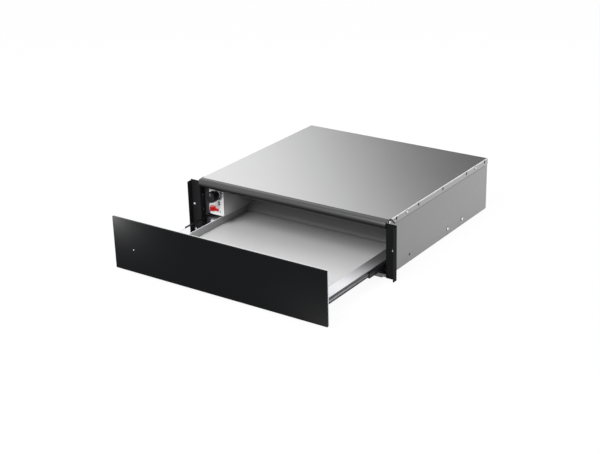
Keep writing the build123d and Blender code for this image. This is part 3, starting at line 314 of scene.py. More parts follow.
def cover_steel():
    """Brushed cover sheet with a painted highlight along its bends, painted shade down its folds and painted shade
    at its front lip.
    """
    high = corners("top_cover")[1]
    finish = Finish("cover_steel")
    grain = finish.noise(1.0, 2.0, place=finish.grained("x"))
    clouds = finish.noise(9.0, 3.0)
    aside = abs(finish.axis("X"))
    # painted shade down the folds
    fold = finish.passing(aside, high.x, COVER_PAINTED_FOLD_SHADE)
    # painted highlight along the bends
    bend = finish.passing(aside, high.x, COVER_PAINTED_BEND_HIGHLIGHT) * finish.passing(finish.axis("Z"), high.z, COVER_PAINTED_BEND_HIGHLIGHT)
    sheet = finish.blend(grain, (0.70, 0.70, 0.705), (0.76, 0.76, 0.765))
    # the folds' painted shade is a little lighter towards the rear
    rear = finish.passing(finish.axis("Y"), 0, REAR_FADE)
    folded = finish.blend(fold, sheet, finish.blend(rear, (0.33, 0.33, 0.33), (0.40, 0.40, 0.40)))
    folded = finish.blend(bend, folded, (0.96, 0.96, 0.96))
    # painted shade at the front lip
    lip = (1.0 - finish.passing(finish.axis("Y"), 0, COVER_PAINTED_LIP_SHADE)) * (1.0 - fold)
    finish.set("Base Color", finish.blend(lip, folded, (0.034, 0.034, 0.035)))
    finish.set("Metallic", 1.0 - 0.75 * fold.most(bend).most(lip))
    finish.set("Roughness", 0.23 + 0.25 * fold + (grain - 0.5) * 0.06 + (clouds - 0.5) * 0.03)
    finish.relief(grain, HAIRLINE)
    return finish.material


def galvanised_steel(name, colour, roughness=0.5, metallic=0.6, rear=None):
    """Zinc coated sheet: satin, with a barely visible spangle, another colour towards its rear."""
    finish = Finish(name, Metallic=metallic)
    spangle = finish.cells(140.0, "Color")
    grey = finish.node("ShaderNodeSeparateColor", inputs={"Color": spangle})
    fine = finish.noise(900.0, 2.0)
    clouds = finish.noise(6.0, 3.0)
    sheet = finish.blend(grey * 0.3 + clouds * 0.5 + fine * 0.2, tinted(colour, 0.93), colour)
    if rear:
        sheet = finish.blend(finish.passing(finish.axis("Y"), 0, REAR_FADE), sheet, rear)
    finish.set("Base Color", sheet)
    finish.set("Roughness", roughness + (grey - 0.5) * 0.05 + (fine - 0.5) * 0.06)
    finish.relief(fine, HAIRLINE)
    return finish.material


def powder_coat(name, colour, roughness=0.42, specular=0.5, peel_depth=0.00003):
    """Satin paint with a fine orange peel and light dust on top."""
    finish = Finish(name, Specular_IOR_Level=specular)
    peel = finish.noise(520.0, 2.0)
    clouds = finish.noise(14.0, 4.0)
    finish.set("Base Color", finish.blend(clouds, colour, tinted(colour, 1.3)))
    finish.set("Roughness", roughness + (clouds - 0.5) * 0.1)
    finish.relief(peel, peel_depth)
    return finish.material


def moulded_plastic(name, colour, roughness=0.4, grain=700.0, depth=0.00003, specular=0.5):
    """Moulded plastic with a fine eroded texture."""
    finish = Finish(name, Specular_IOR_Level=specular)
    eroded = finish.noise(grain, 3.0)
    clouds = finish.noise(25.0, 2.0)
    finish.set("Base Color", finish.blend(clouds, tinted(colour, 0.95), colour))
    finish.set("Roughness", roughness + (eroded - 0.5) * 0.1)
    finish.relief(eroded, depth)
    return finish.material


def profile_steel(name, roughness, metallic=1.0, painted_faded=False):
    """Bright profile with lines along its length; one with painted shade is darker behind and on its outer wall.
    """
    finish = Finish(name, Metallic=metallic)
    lines = finish.noise(1.0, 2.0, place=finish.grained("y", DRAWN_ACROSS, DRAWN_ALONG))
    smears = finish.noise(18.0, 3.0)
    colour = finish.blend(smears, (0.80, 0.80, 0.83), (0.88, 0.88, 0.91))
    if painted_faded:
        # painted shade, darker towards the rear
        painted_fade = finish.passing(finish.axis("Y"), 0, PROFILE_PAINTED_SHADE, smooth=True)
        colour = finish.blend(painted_fade, colour, (0.13, 0.13, 0.13))
        # painted shade on the outer wall
        wall = finish.passing(finish.axis("X"), corners("drawer_side_right")[1].x, PROFILE_PAINTED_WALL_SHADE)
        colour = finish.blend(wall, colour, (0.17, 0.17, 0.172))
    finish.set("Base Color", colour)
    finish.set("Roughness", roughness + (lines - 0.5) * 0.05 + (smears - 0.5) * 0.03)
    finish.relief(lines, HAIRLINE * 0.4)
    return finish.material


def black_glass():
    """Back-painted glass: deep black, with a painted sheen fading from two opposite corners, and faint smears and
    specks.
    """
    low, high = corners("front_glass")
    finish = Finish("black_glass", Specular_IOR_Level=0.05)
    smears = finish.noise(5.0, 4.0, place=finish.stretched((0.5, 1.0, 2.0)))
    specks = finish.cells(260.0) < 0.04
    colour = (0.0030, 0.0034, 0.0040)
    # painted sheen: strong from the upper left corner, faint from the lower right
    for x, z, strength, fade in ((low.x, high.z, 0.125, 0.040), (high.x, low.z, 0.020, 0.070)):
        across = finish.axis("X") - x
        along = (finish.axis("Z") - z) * 1.4
        painted_sheen = math.e ** ((across * across + along * along) ** 0.5 * (-1.0 / fade))
        colour = finish.blend(painted_sheen, colour, (strength, strength, strength * 1.02))
    finish.set("Base Color", finish.blend(specks * 0.03 + smears * 0.01, colour, (0.04, 0.04, 0.042)))
    finish.set("Roughness", 0.22 + (smears - 0.5) * 0.08)
    finish.relief(smears, 0.000002)
    return finish.material


def dotted_mat(name, colour, roughness=0.5, dots_deep=0.00008):
    """Anti-slip mat with a fine grid of low studs."""
    finish = Finish(name, Specular_IOR_Level=0.35)
    pitch = STUD_PITCH * MM
    across = abs(finish.axis("X").cycle(pitch) - pitch / 2)
    along = abs(finish.axis("Y").cycle(pitch) - pitch / 2)
    from_middle = (across * across + along * along) ** 0.5
    dots = 1.0 - finish.passing(from_middle, 0, STUD_EDGE)
    clouds = finish.noise(12.0, 3.0)
    base = finish.blend(clouds, tinted(colour, 0.96), colour)
    finish.set("Base Color", finish.blend(dots * 0.5, base, tinted(colour, 0.9)))
    finish.set("Roughness", roughness + (clouds - 0.5) * 0.1)
    finish.relief(dots, dots_deep)
    return finish.material


def tray_enamel():
    """Pale satin enamel of the tray, with painted shade towards its rear wall, darker up that wall."""
    low, high = corners("tray")
    finish = Finish("tray_enamel", Specular_IOR_Level=0.35)
    clouds = finish.noise(10.0, 4.0)
    fine = finish.noise(700.0, 2.0)
    # painted shade towards the rear wall, darker up that wall
    rear = finish.passing(finish.axis("Y") + (clouds - 0.5) * 0.01, high.y, TRAY_PAINTED_SHADE)
    rise = finish.between(finish.axis("Z"), low.z, high.z)
    base = finish.blend(clouds, (0.36, 0.36, 0.365), (0.39, 0.39, 0.395))
    painted_shade_colour = finish.blend(rise, (0.31, 0.31, 0.315), (0.15, 0.15, 0.154))
    finish.set("Base Color", finish.blend(rear, base, painted_shade_colour))
    finish.set("Roughness", 0.46 + (fine - 0.5) * 0.1)
    finish.relief(fine, 0.00002)
    return finish.material


def trim_paint():
    """Satin paint of the front trim, with painted shade darkening it below its brow."""
    foot = corners("front_trim")[0].z
    finish = Finish("trim_satin", Specular_IOR_Level=0.12, Coat_Roughness=0.25)
    clouds = finish.noise(14.0, 4.0)
    peel = finish.noise(520.0, 2.0)
    # painted shade below the brow: near black under it
    brow = finish.passing(finish.axis("Z"), foot, TRIM_BROW)
    paint = finish.blend(brow, (0.0010, 0.0010, 0.0011), (0.034, 0.034, 0.035))
    finish.set("Base Color", finish.blend(clouds * 0.1, paint, (0.012, 0.012, 0.0125)))
    finish.set("Roughness", 0.34 + (clouds - 0.5) * 0.06)
    finish.set("Coat Weight", brow * 0.9)
    finish.relief(peel, 0.00002)
    return finish.material


def housing_steel():
    """Brushed control housing: painted shade on its front, painted light behind that at its foot, and darker
    further off.
    """
    low = corners("control_housing")[0]
    finish = Finish("housing_steel", Specular_IOR_Level=0.3)
    grain = finish.noise(1.0, 2.0, place=finish.grained("y"))
    behind = finish.axis("Y") - low.y
    above = finish.axis("Z") - low.z - HOUSING_FOOT * MM
    distance = (behind * behind + above * above * 1.6) ** 0.5
    # painted light: brightest at the foot just behind the front, fading further off
    painted_fade = math.e ** (distance * (-1.0 / (HOUSING_PAINTED_LIGHT_FADE * MM)))
    # painted shade on the front
    front = finish.passing(behind, 0, HOUSING_PAINTED_FRONT_SHADE)
    steel = finish.blend(painted_fade, (0.22, 0.22, 0.224), (0.98, 0.98, 0.985))
    finish.set("Base Color", finish.blend(front, (0.045, 0.045, 0.047), steel))
    finish.set("Metallic", front * 0.5)
    finish.set("Roughness", 0.42 + (grain - 0.5) * 0.08)
    finish.relief(grain, HAIRLINE)
    return finish.material


def red_lens():
    """Red see-through rocker moulding, with a painted pink sheen along its top and a painted pale highlight at its
    upper end.
    """
    high = corners("switch_rocker")[1]
    finish = Finish("rocker_red", Specular_IOR_Level=0.12)
    depth = finish.noise(160.0, 2.0)
    end = finish.passing(finish.axis("X"), high.x, LENS_PAINTED_HIGHLIGHT_END)
    top = finish.passing(finish.axis("Z"), high.z, LENS_PAINTED_HIGHLIGHT_TOP)
    brow = finish.passing(finish.axis("Z"), high.z, LENS_BROW)
    red = finish.blend(depth, (0.36, 0.001, 0.003), (0.62, 0.004, 0.010))
    # painted pink sheen along the top
    red = finish.blend(brow * 0.6, red, (0.85, 0.30, 0.30))
    # painted pale highlight at the upper end
    finish.set("Base Color", finish.blend(end * top, red, (1.0, 0.85, 0.85)))
    finish.set("Roughness", 0.22 + depth * 0.08)
    finish.relief(depth, 0.00004)
    return finish.material


def felt(name, colour):
    """Mineral fibre mat."""
    finish = Finish(name)
    fibres = finish.noise(1.0, 4.0, 0.7, finish.grained("y", FIBRES_ACROSS, FIBRES_ALONG))
    finish.set("Base Color", finish.blend(fibres, tinted(colour, 0.7), colour))
    finish.set("Roughness", 0.90 + fibres * 0.08)
    finish.relief(fibres, 0.0006)
    return finish.material


def copper_wire():
    """Copper with a darker heat tint in places."""
    finish = Finish("copper_wire", Metallic=1.0)
    tint = finish.noise(60.0, 3.0)
    drawn = finish.noise(900.0, 2.0)
    finish.set("Base Color", finish.blend(tint, (0.55, 0.24, 0.14), (0.80, 0.42, 0.27)))
    finish.set("Roughness", 0.28 + tint * 0.15)
    finish.relief(drawn, 0.00002)
    return finish.material


def clear_lens():
    """Lamp lens, unevenly milky."""
    finish = Finish("lamp_lens", IOR=1.46)
    milk = finish.noise(900.0, 2.0)
    finish.set("Base Color", finish.blend(milk, (0.42, 0.44, 0.46), (0.55, 0.57, 0.60)))
    finish.set("Roughness", 0.12 + milk * 0.06)
    finish.relief(milk, 0.00002)
    return finish.material


FINISHES = {
    "glass_black": black_glass(),
    "edge_pale": powder_coat("edge_pale", (0.50, 0.51, 0.52), 0.35),
    "steel_brushed": brushed_steel("brushed_sheet", (0.60, 0.60, 0.605), "x", 0.32),
    "steel_galvanised": galvanised_steel("galvanised_sheet", (0.290, 0.290, 0.292), 0.55, 0.35,
                                         rear=(0.345, 0.345, 0.347)),
    "steel_dark": brushed_steel("liner_steel", (0.30, 0.30, 0.305), "y", 0.42),
    "zinc": galvanised_steel("zinc_plate", (0.40, 0.40, 0.41), 0.30, 0.9),
    "black_satin": powder_coat("bracket_black", (0.0085, 0.0087, 0.0092), 0.50, 0.03),
    "black_zinc": powder_coat("black_plate", (0.007, 0.007, 0.0075), 0.36, 0.3),
    "plate_white": moulded_plastic("control_plate_white", (0.84, 0.845, 0.855), 0.38, 420.0, HAIRLINE),
    "knob_black": moulded_plastic("knob_black", (0.006, 0.006, 0.0065), 0.40, specular=0.16),
    "plastic_dark": moulded_plastic("dark_plastic", (0.03, 0.03, 0.032), 0.45),
    "plastic_white": moulded_plastic("white_plastic", (0.70, 0.70, 0.69), 0.42),
    "rocker_red": red_lens(),
    "mat_grey": dotted_mat("dotted_mat", (0.595, 0.590, 0.596)),
    "insulation": felt("mineral_mat", (0.12, 0.115, 0.105)),
    "copper": copper_wire(),
    "lens": clear_lens(),
    "ceramic_white": moulded_plastic("glazed_ceramic", (0.82, 0.81, 0.77), 0.22, 300.0, 0.00002),
    "ball_steel": brushed_steel("ball_steel", (0.70, 0.70, 0.72), "y", 0.12, 0.02),
    "cage_plastic": moulded_plastic("nylon_cage", (0.60, 0.60, 0.58), 0.5),
}
OWN_FINISHES = {
    "top_cover": cover_steel(),
    "front_trim": trim_paint(),
    "tray": tray_enamel(),
    # the baffle and the roof are darker copies of brushed steel: painted shade inside the cavity
    "rear_baffle": brushed_steel("baffle_steel", (0.13, 0.13, 0.132), "x", 0.5, metallic=0.4),
    "liner_roof": brushed_steel("roof_steel", (0.14, 0.14, 0.142), "x", 0.5, metallic=0.4),
    "control_housing": housing_steel(),
    # the left bracket's black is a lighter copy of the bracket black: a painted sheen
    "front_bracket_left": powder_coat("left_bracket_black", (0.0125, 0.0128, 0.0135), 0.50, 0.04),
    "drawer_side_left": profile_steel("mirror_profile", 0.07),
    # the right profile gets painted shade behind and on its outer wall
    "drawer_side_right": profile_steel("satin_profile", 0.42, 0.35, painted_faded=True),
}
# pale zinc, partly its own colour and partly a painted highlight, made whiter and less metallic; for the heads and
# the bracket-hole glints
ZINC_WITH_PAINTED_HIGHLIGHT = galvanised_steel("screw_zinc", (0.93, 0.93, 0.94), 0.25, 0.35)
# near black for the thin ring of painted shade round each head
PAINTED_SHADE_RING = powder_coat("screw_seat", (0.02, 0.02, 0.02), 0.7, 0.1)
PRINT_GREY = powder_coat("dial_print", (0.012, 0.012, 0.013), 0.6, 0.1)
# near black for pieces that stand in for shade: in slots, holes, mitre gaps and under the folds
PAINTED_SHADE_BLACK = powder_coat("slot_shade", (0.010, 0.010, 0.011), 0.8, 0.05)
POINTER_WHITE = moulded_plastic("pointer_white", (0.42, 0.42, 0.42), 0.4)
# white for the dots of painted highlight along the left ledge's edge
PAINTED_GLINT_WHITE = moulded_plastic("bead_bright", (0.92, 0.92, 0.92), 0.3, 300.0, HAIRLINE)


def dress_frame():
    """Gives every CAD node the finish of its record slot, or its own."""
    slots = {part["node"]: part["material_slot"] for part in frame["record"]["subparts"]}
    for name, node in NODES.items():
        finish = OWN_FINISHES.get(name) or FINISHES[slots[name]]
        if not node.material_slots:
            node.data.materials.append(finish)
        for place in node.material_slots:
            place.material = finish


# ---- meshes
def added(name, data):
    """A new object in the scene."""
    thing = bpy.data.objects.new(name, data)
    bpy.context.scene.collection.objects.link(thing)
    return thing


def evaluated_mesh(piece):
    """The plain mesh that a piece's modifiers give."""
    bpy.context.view_layer.update()
    graph = bpy.context.evaluated_depsgraph_get()
    return bpy.data.meshes.new_from_object(piece.evaluated_get(graph))


def add_prism(form, under, over):
    """Adds the faces of a closed prism between two rings of vertices."""
    form.faces.new(under)
    form.faces.new(over)
    for count in range(len(under)):
        after = (count + 1) % len(under)
        form.faces.new((under[count], under[after], over[after], over[count]))


def piece_from(form, name, finish, smooth=True):
    """An object from a bmesh in metres, its normals outward, at the origin."""
    bmesh.ops.remove_doubles(form, verts=form.verts, dist=1e-7)
    bmesh.ops.recalc_face_normals(form, faces=form.faces)
    mesh = bpy.data.meshes.new(name)
    form.to_mesh(mesh)
    form.free()
    mesh.materials.append(finish)
    for face in mesh.polygons:
        face.use_smooth = smooth
    return added(name, mesh)


def turned(name, outline, finish, segments=72):
    """A piece turned about its own Z axis from an outline of (radius, height) in mm, closed at the axis."""
    form = bmesh.new()
    rings = []
    for radius, height in outline:
        if radius == 0:
            rings.append([form.verts.new(mm(0, 0, height))])
            continue
        steps = (2 * math.pi * count / segments for count in range(segments))
        rings.append([form.verts.new(mm(radius * math.cos(turn), radius * math.sin(turn), height))
                      for turn in steps])
    for below, above in zip(rings, rings[1:]):
        for count in range(segments):
            after = (count + 1) % segments
            around = [below[count % len(below)], below[after % len(below)],
                      above[after % len(above)], above[count % len(above)]]
            form.faces.new(list(dict.fromkeys(around)))
    return piece_from(form, name, finish)


def bar(name, size, finish, bevel=0.0, start=(0, 0, 0)):
    """A bevelled bar of that size in mm, from start to start + size."""
    form = bmesh.new()
    bmesh.ops.create_cube(form, size=1.0)
    bmesh.ops.scale(form, vec=mm(*size), verts=form.verts)
    shift = [begin + length / 2 for begin, length in zip(start, size)]
    bmesh.ops.translate(form, vec=mm(*shift), verts=form.verts)
    if bevel:
        bmesh.ops.bevel(form, geom=form.edges[:], offset=bevel * MM, segments=2, profile=0.5, affect="EDGES")
    return piece_from(form, name, finish, smooth=bool(bevel))


def joined(name, pieces):
    """One object from several, with their finishes kept."""
    form = bmesh.new()
    finishes = []
    for piece in pieces:
        start = len(form.faces)
        form.from_mesh(piece.data)
        form.faces.ensure_lookup_table()
        for face in form.faces[start:]:
            face.material_index = len(finishes)
        finishes.append(piece.data.materials[0])
    mesh = bpy.data.meshes.new(name)
    form.to_mesh(mesh)
    form.free()
    for finish in finishes:
        mesh.materials.append(finish)
    for piece in pieces:
        bpy.data.objects.remove(piece)
    return added(name, mesh)


def placed(piece, towards, place):
    """The piece's own Z axis turned towards a direction and its origin moved, inside its mesh."""
    turn = Vector(towards).to_track_quat("Z", "Y").to_matrix().to_4x4()
    piece.data.transform(Matrix.Translation(place) @ turn)
    return piece


# ---- repeated pieces
class Recipe(Tree):
    """A Geometry Nodes tree with named inputs, which ends in Realize Instances."""

    def __init__(self, name, inputs):
        group = bpy.data.node_groups.new(name, "GeometryNodeTree")
        super().__init__(group)
        group.interface.new_socket("Geometry", in_out="OUTPUT", socket_type="NodeSocketGeometry")
        for label, kind in inputs:
            group.interface.new_socket(label, in_out="INPUT", socket_type=f"NodeSocket{kind}")
        self.given = self.node("NodeGroupInput", output=None)

    def input(self, label):
        """One of the tree's named inputs."""
        return Value(self, self.given.outputs[label])

    def finish(self, geometry):
        """Ends the tree with real geometry in the given finish."""
        real = self.node("GeometryNodeRealizeInstances", inputs={"Geometry": geometry})
        dressed = self.node("GeometryNodeSetMaterial",
                            inputs={"Geometry": real, "Material": self.input("Finish")})
        self.node("NodeGroupOutput", inputs={"Geometry": dressed}, output=None)

    def made(self, name, carrier, shape, values):
        """An object with the plain mesh that the tree gives, in the shape's own finish."""
        finish = shape.data.materials[0]
        modifier = carrier.modifiers.new("recipe", "NODES")
        modifier.node_group = self.tree
        for socket in self.tree.interface.items_tree:
            if socket.in_out == "INPUT" and socket.name in values:
                modifier[socket.identifier] = values[socket.name]
            elif socket.name == "Finish":
                modifier[socket.identifier] = finish
        mesh = evaluated_mesh(carrier)
        mesh.name = name
        carrier.modifiers.remove(modifier)
        bpy.data.objects.remove(carrier)
        bpy.data.objects.remove(shape)
        mesh.materials.clear()
        mesh.materials.append(finish)
        return added(name, mesh)


def ridden(piece, body, replaced=()):
    """The piece rides on its body, in place of those CAD nodes."""
    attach(piece, body)
    if replaced:
        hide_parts(*replaced)


def copies_recipe():
    """A shape at each point of the carrier, its Z axis along the point's own direction."""
    recipe = Recipe("copies_at_places", [("Places", "Geometry"), ("Shape", "Object"), ("Spin", "Float"),
                                         ("Seed", "Int"), ("Finish", "Material")])
    shape = recipe.node("GeometryNodeObjectInfo", {"transform_space": "ORIGINAL"},
                        {"Object": recipe.input("Shape")}, "Geometry")
    towards = recipe.node("GeometryNodeInputNamedAttribute", {"data_type": "FLOAT_VECTOR"},
                          {"Name": "towards"})
    facing = recipe.node("FunctionNodeAlignRotationToVector", {"axis": "Z"}, {"Vector": towards})
    spin = recipe.node("FunctionNodeRandomValue", {"data_type": "FLOAT"},
                       {RANDOM_LOW: 0.0, RANDOM_HIGH: recipe.input("Spin"),
                        RANDOM_SEED: recipe.input("Seed")}, RANDOM_RESULT)
    about_axis = recipe.node("ShaderNodeCombineXYZ", inputs={"Z": spin})
    own_turn = recipe.node("FunctionNodeEulerToRotation", inputs={"Euler": about_axis})
    turn = recipe.node("FunctionNodeRotateRotation", {"rotation_space": "LOCAL"},
                       {"Rotation": facing, "Rotate By": own_turn})
    copies = recipe.node("GeometryNodeInstanceOnPoints",
                         inputs={"Points": recipe.input("Places"), "Instance": shape, "Rotation": turn})
    recipe.finish(copies)
    return recipe


def ring_recipe():
    """A shape copied round a circle in the XY plane, each copy longer than the one before it."""
    recipe = Recipe("ring_of_copies", [("Shape", "Object"), ("Count", "Int"), ("First", "Float"),
                                       ("Last", "Float"), ("Radius", "Float"), ("Growth", "Float"),
                                       ("Finish", "Material")])
    shape = recipe.node("GeometryNodeObjectInfo", {"transform_space": "ORIGINAL"},
                        {"Object": recipe.input("Shape")}, "Geometry")
    index = recipe.node("GeometryNodeInputIndex")
    share = index / (recipe.input("Count") - 1.0)
    turn = recipe.input("First") + (recipe.input("Last") - recipe.input("First")) * share
    radius = recipe.input("Radius")
    place = recipe.node("ShaderNodeCombineXYZ",
                        inputs={"X": turn.cosine() * radius, "Y": turn.sine() * radius})
    points = recipe.node("GeometryNodePoints", inputs={"Count": recipe.input("Count"), "Position": place})
    rotation = recipe.node("ShaderNodeCombineXYZ", inputs={"Z": turn})
    size = recipe.node("ShaderNodeCombineXYZ", inputs={"X": index * recipe.input("Growth") + 1.0,
                                                       "Y": 1.0, "Z": 1.0})
    copies = recipe.node("GeometryNodeInstanceOnPoints",
                         inputs={"Points": points, "Instance": shape, "Rotation": rotation, "Scale": size})
    recipe.finish(copies)
    return recipe


COPIES = copies_recipe()
RING = ring_recipe()


def at_places(name, shape, places, spin=0.0, seed=1):
    """Copies of a shape at places given as (point in metres, direction)."""
    mesh = bpy.data.meshes.new(name)
    mesh.from_pydata([tuple(point) for point, towards in places], [], [])
    towards_each = mesh.attributes.new("towards", "FLOAT_VECTOR", "POINT")
    for count, (point, towards) in enumerate(places):
        towards_each.data[count].vector = towards
    values = {"Shape": shape, "Spin": spin, "Seed": seed}
    return COPIES.made(name, added(name, mesh), shape, values)


def in_ring(name, shape, count, first, last, radius, growth=0.0):
    """Copies of a shape round a circle, from one angle in degrees to another."""
    carrier = added(name, bpy.data.meshes.new(name))
    values = {"Shape": shape, "Count": count, "First": math.radians(first), "Last": math.radians(last),
              "Radius": radius * MM, "Growth": growth}
    return RING.made(name, carrier, shape, values)


def cut(piece, tool):
    """Cuts a tool's shape out of a piece."""
    knife = piece.modifiers.new("cut", "BOOLEAN")
    knife.object = tool
    knife.solver = "EXACT"
    mesh = evaluated_mesh(piece)
    piece.modifiers.remove(knife)
    piece.data = mesh
    bpy.data.objects.remove(tool)


def separate_solids(node, reach):
    """(lowest, highest) corner of each of a CAD node's solids, which lie further apart than reach in mm."""
    groups = []
    for corner in (NODES[node].matrix_world @ point.co for point in NODES[node].data.vertices):
        near = [group for group in groups if (group[0] - corner).length < reach * MM]
        if near:
            near[0].append(corner)
        else:
            groups.append([corner])
    return [(Vector(map(min, *group)), Vector(map(max, *group))) for group in groups]


# ---- fasteners
def head_shape(name, size, finish):
    """A domed head on a short shank, with a cross recess where it is a screw."""
    radius, height, recess = size
    rim, shank = height * HEAD_RIM, radius * SHANK_SHARE
    outline = [(0, -SHANK_DEPTH), (shank, -SHANK_DEPTH), (shank, 0), (radius, 0), (radius, rim)]
    for step in range(1, HEAD_STEPS):
        turn = math.pi / 2 * step / HEAD_STEPS
        outline.append((radius * math.cos(turn), rim + (height - rim) * math.sin(turn)))
    outline.append((0, height))
    head = turned(name, outline, finish, HEAD_SEGMENTS)
    if recess:
        reach = radius * RECESS_REACH
        for blade in ((2 * reach, recess, height), (recess, 2 * reach, height)):
            start = (-blade[0] / 2, -blade[1] / 2, height * RECESS_FLOOR)
            cut(head, bar("recess", blade, finish, start=start))
    return head


def outward_heads(node, radius, height):
    """Place and direction of each head of a fastener node, on both sides of the object."""
    places = []
    for low, high in separate_solids(node, 3 * radius):
        side = 1 if low.x + high.x > 0 else -1
        base = (high.x if side > 0 else low.x) - side * height * MM
        places.append(((base, (low.y + high.y) / 2, (low.z + high.z) / 2), (side, 0, 0)))
    return places


def fasteners(node, body, size, seed, seat=True):
    """Round pale zinc heads, their paleness partly a painted highlight, in place of a CAD fastener node, each on a
    thin dark ring of painted shade.
    """
    radius, height = size[:2]
    places = outward_heads(node, radius, height)
    head = head_shape(f"{node}_head", size, ZINC_WITH_PAINTED_HIGHLIGHT)
    ridden(at_places(f"{node}_heads", head, places, math.pi, seed), body, (node,))
    if seat:
        # a thin dark ring of painted shade round each head
        inside, rim = radius * SHADE_RING_INSIDE, radius + SHADE_RING_RIM
        outline = [(inside, -SHADE_RING_SINK), (rim, -SHADE_RING_SINK), (rim, SHADE_RING_RISE), (inside, SHADE_RING_RISE)]
        ring = turned("seat", outline, PAINTED_SHADE_RING, HEAD_SEGMENTS)
        ridden(at_places(f"{node}_seats", ring, places), body)


def rear_screws(seed):
    """Small screws along the rear panel's head and foot."""
    panel = corners("rear_panel")[1].y
    head = head_shape("rear_head", REAR_SCREW, ZINC_WITH_PAINTED_HIGHLIGHT)
    rows = [(REAR_HEAD, panel + SHEET * MM), (REAR_FOOT, panel)]
    places = [((x * MM, face, z * MM), (0, 1, 0)) for z, face in rows for x in REAR_SCREWS]
    ridden(at_places("rear_screws", head, places, math.pi, seed), "casing")


# ---- casing details
def slot_painted_shade_strips():
    """Painted shade: a dark strip in each slot of the cover's folds."""
    top = corners("top_cover")[1]
    for side, name in ((1, "right"), (-1, "left")):
        lining = bar("lining", SHADE_STRIP_SIZE, PAINTED_SHADE_BLACK, SOFT_EDGE, [-length / 2 for length in SHADE_STRIP_SIZE])
        places = [((side * (top.x - SHADE_STRIP_INSET * MM), y * MM, top.z - SLOT_DROP * MM), (0, 0, 1))
                  for y in SLOT_PLACES]
        ridden(at_places(f"slot_linings_{name}", lining, places), "casing")


def hole_plugs():
    """Painted shade: a dark disc in the hole low on each side."""
    face = corners("top_cover")[1].x - SHEET * MM
    y, z = JIG_HOLE
    plug = turned("plug", SHADE_DISC_OUTLINE, PAINTED_SHADE_BLACK, SHADE_DISC_SEGMENTS)
    places = [((side * face, y * MM, z * MM), (side, 0, 0)) for side in (1, -1)]
    ridden(at_places("hole_plugs", plug, places), "casing")


def add_strip(form, side, face, top, ends):
    """Adds a thin strip on one side's face, between two ends given as (y, depth under the top)."""
    first, last = (Vector((0, y, top - depth)) for y, depth in ends)
    along = (last - first).normalized()
    aside = Vector((0, -along.z, along.y)) * SHADE_LINE_HALF_WIDTH
    ring = [first - aside, first + aside, last + aside, last - aside]
    for point in ring:
        point.z = min(point.z, top - SHADE_LINE_CLEARANCE)
    inner, outer = ([form.verts.new(mm(side * x, point.y, point.z)) for point in ring]
                    for x in (face - SHADE_LINE_SINK, face + SHADE_LINE_PROUD))
    add_prism(form, inner, outer)


def mitre_shade_lines():
    """Painted shade: dark lines at the mitred front corners of the cover, and the shade line under each fold."""
    low, high = corners("top_cover")
    face, top = high.x / MM - SHEET, high.z / MM
    length = (high.y - low.y) / MM - SHADE_START - SHADE_END
    for side, name in ((1, "right"), (-1, "left")):
        form = bmesh.new()
        for ends in MITRE_SHADE_LINES:
            add_strip(form, side, face, top, ends)
        ridden(piece_from(form, f"mitre_seam_{name}", PAINTED_SHADE_BLACK, smooth=False), "casing")
        start = (min(side * face, side * (face + SHADE_DEPTH)), SHADE_START, top - SHADE_DROP)
        shade = bar(f"fold_shade_{name}", (SHADE_DEPTH, length, SHADE_HEIGHT), PAINTED_SHADE_BLACK, SOFT_EDGE, start)
        ridden(shade, "casing")


def flange_eyelets():
    """Painted highlight: a bright ring in the mounting hole of each front bracket."""
    x, z = FLANGE_HOLE
    ring = turned("eyelet", HOLE_GLINT_OUTLINE, ZINC_WITH_PAINTED_HIGHLIGHT, HEAD_SEGMENTS)
    places = [((side * x * MM, HOLE_GLINT_BACK * MM, z * MM), (0, -1, 0)) for side in (1, -1)]
    ridden(at_places("flange_eyelets", ring, places), "casing")


# ---- drawer details
def ledge_beads():
    """Painted highlight: bright dots along the inner edge of the left profile's ledge."""
    low, high = corners("drawer_side_left")
    pearl = bar("pearl", (GLINT_WIDTH, GLINT_LENGTH, GLINT_HEIGHT), PAINTED_GLINT_WHITE, GLINT_EDGE,
                (-GLINT_WIDTH / 2, -GLINT_LENGTH / 2, -GLINT_SINK))
    count = int((high.y - low.y) / MM / GLINT_PITCH)
    places = [((high.x - GLINT_INSET * MM, low.y + (step + 0.5) * GLINT_PITCH * MM, high.z), (0, 0, 1))
              for step in range(count)]
    ridden(at_places("ledge_beads", pearl, places), "drawer")


def tray_heel():
    """End plate at the tray's rear left corner, below the control housing's foot and up beside its wall."""
    tray = corners("tray")[1] / MM
    ledge = corners("drawer_side_left")[1] / MM
    foot = corners("control_housing")[0].z / MM
    wall = corners("control_housing")[1].x / MM
    rear = tray.y - HEEL_INSET
    start = (ledge.x + HEEL_SIDE_GAP, rear, ledge.z - HEEL_SINK)
    size = (wall + TRAY_GAP - start[0], HEEL_THICKNESS, foot - HEEL_FOOT_GAP - start[2])
    below = bar("below", size, OWN_FINISHES["tray"], SOFT_EDGE, start)
    start = (wall + HEEL_WALL_GAP, rear, foot - HEEL_LAP)
    size = (TRAY_GAP - HEEL_WALL_GAP, HEEL_THICKNESS, tray.z - start[2])
    beside = bar("beside", size, OWN_FINISHES["tray"], SOFT_EDGE, start)
    ridden(joined("tray_heel", [below, beside]), "drawer")


